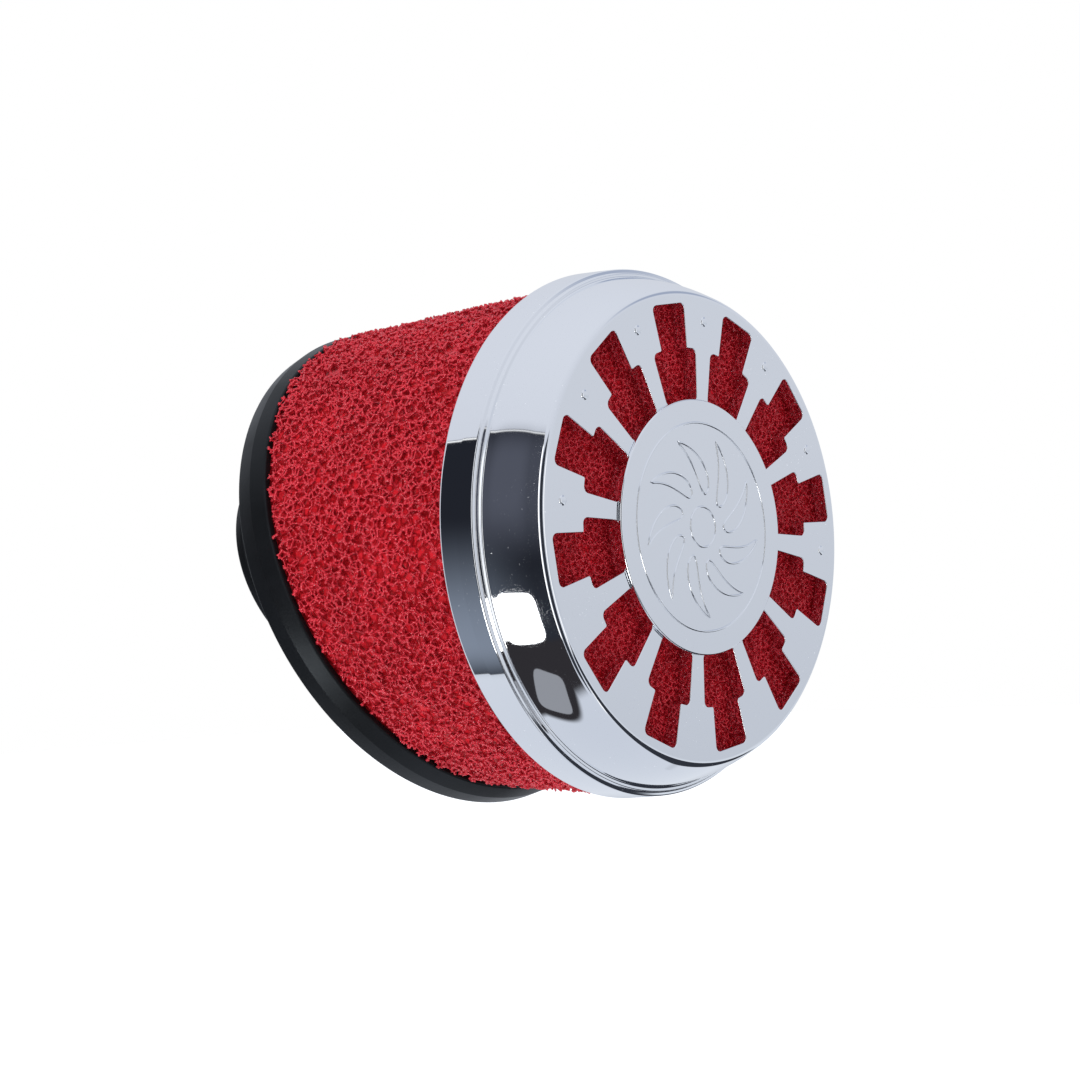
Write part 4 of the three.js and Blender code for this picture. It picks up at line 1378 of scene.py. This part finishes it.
def build_world():
    """Soft studio surroundings; the camera itself sees a plain white backdrop."""
    world = bpy.data.worlds.new("studio")
    world.use_nodes = True
    bpy.context.scene.world = world
    world.node_tree.nodes.clear()
    studio = Nodes(world.node_tree)
    direction = studio.node("TexCoord")
    height = studio.node("SeparateXYZ", 2, _0=direction)
    level = studio.math("ADD", studio.math("MULTIPLY", height, 0.5), 0.5)
    shade = studio.ramp(level, *WALL_SHADES)
    for angles, across_edges, along_edges, roundness, softness, colour in STUDIO:
        a, e, roll = map(math.radians, angles)
        centre = Vector((math.sin(a) * math.cos(e), math.cos(a) * math.cos(e), math.sin(e)))
        right = Matrix.Rotation(roll, 3, centre) @ Vector((math.cos(a), -math.sin(a), 0))
        reaches = [
            studio.node("VectorMath", 1, {"operation": "DOT_PRODUCT"}, _0=direction, _1=axis)
            for axis in (centre, right, right.cross(centre))
        ]
        ahead = studio.math("MAXIMUM", reaches[0], 0.001)
        powers = []
        for reach, (first, last) in zip(reaches[1:], (across_edges, along_edges)):
            middle, half = (first + last) / 2, (last - first) / 2
            offset = studio.math("SUBTRACT", studio.math("DIVIDE", reach, ahead), middle)
            share = studio.math("ABSOLUTE", studio.math("DIVIDE", offset, half))
            powers.append(studio.math("POWER", share, roundness))
        distance = studio.math("POWER", studio.math("ADD", *powers), 1 / roundness)
        inside = studio.node("MapRange", 0, {"interpolation_type": "SMOOTHSTEP"}, Value=distance,
                             From_Min=1 + softness, From_Max=1 - softness)
        facing = studio.math("GREATER_THAN", reaches[0], 0.001)
        shade = studio.mix(studio.math("MULTIPLY", inside, facing), shade, (*colour, 1))
    seen = studio.mix(studio.node("LightPath"), shade, (1, 1, 1, 1))
    output = world.node_tree.nodes.new("ShaderNodeOutputWorld")
    studio.put(output.inputs[0], studio.node("Background", _0=seen))


def build_floor():
    """A plain pale floor, well below the part, which hangs free above it."""
    mesh = bpy.data.meshes.new("studio_floor")
    mesh.from_pydata([(-4, -4, -0.2), (4, -4, -0.2), (4, 4, -0.2), (-4, 4, -0.2)], [], [(0, 1, 2, 3)])
    floor = bpy.data.objects.new("studio_floor", mesh)
    bpy.context.scene.collection.objects.link(floor)
    shader = Shader("pale_floor")
    shader.set(
        Base_Color=shader.mix(shader.noise(6, 2), (0.90, 0.90, 0.90, 1), (0.93, 0.93, 0.93, 1)),
        Roughness=0.9,
        Emission_Color=(1, 1, 1, 1),
        Emission_Strength=0.65,
    )
    mesh.materials.append(shader.material)
    floor.visible_glossy = False


def add_light(name, place, size, power):
    """A square white light that looks at the part and isn't mirrored in it."""
    data = bpy.data.lights.new(name, "AREA")
    data.shape = "SQUARE"
    data.size = size
    data.energy = power
    light = bpy.data.objects.new(name, data)
    light.location = place
    light.rotation_euler = (Vector((0, -0.05, 0)) - Vector(place)).to_track_quat("-Z", "Y").to_euler()
    light.visible_glossy = False
    bpy.context.scene.collection.objects.link(light)


def build_camera():
    """The camera stands in front and to the left, looking slightly up, leaning 3 degrees."""
    data = bpy.data.cameras.new("camera")
    data.lens = 76.7
    data.sensor_width = 36
    data.clip_start, data.clip_end = 0.01, 50
    camera = bpy.data.objects.new("camera", data)
    bpy.context.scene.collection.objects.link(camera)
    camera.location = (-0.30789, -0.32727, -0.01762)
    forward = Vector((0.74871, 0.66133, 0.04562)).normalized()
    right = Vector((0.66290, -0.74693, -0.05153)).normalized()
    up = right.cross(forward)
    camera.rotation_mode = "QUATERNION"
    camera.rotation_quaternion = Matrix((right, up, -forward)).transposed().to_quaternion()
    bpy.context.scene.camera = camera


build_world()
build_floor()
add_light("key_light", (-0.5, -0.5, 0.7), 0.5, 5.0)
add_light("side_light", (-0.7, 0.1, 0.3), 0.35, 1.2)
build_camera()
bpy.context.scene.view_settings.view_transform = "Standard"
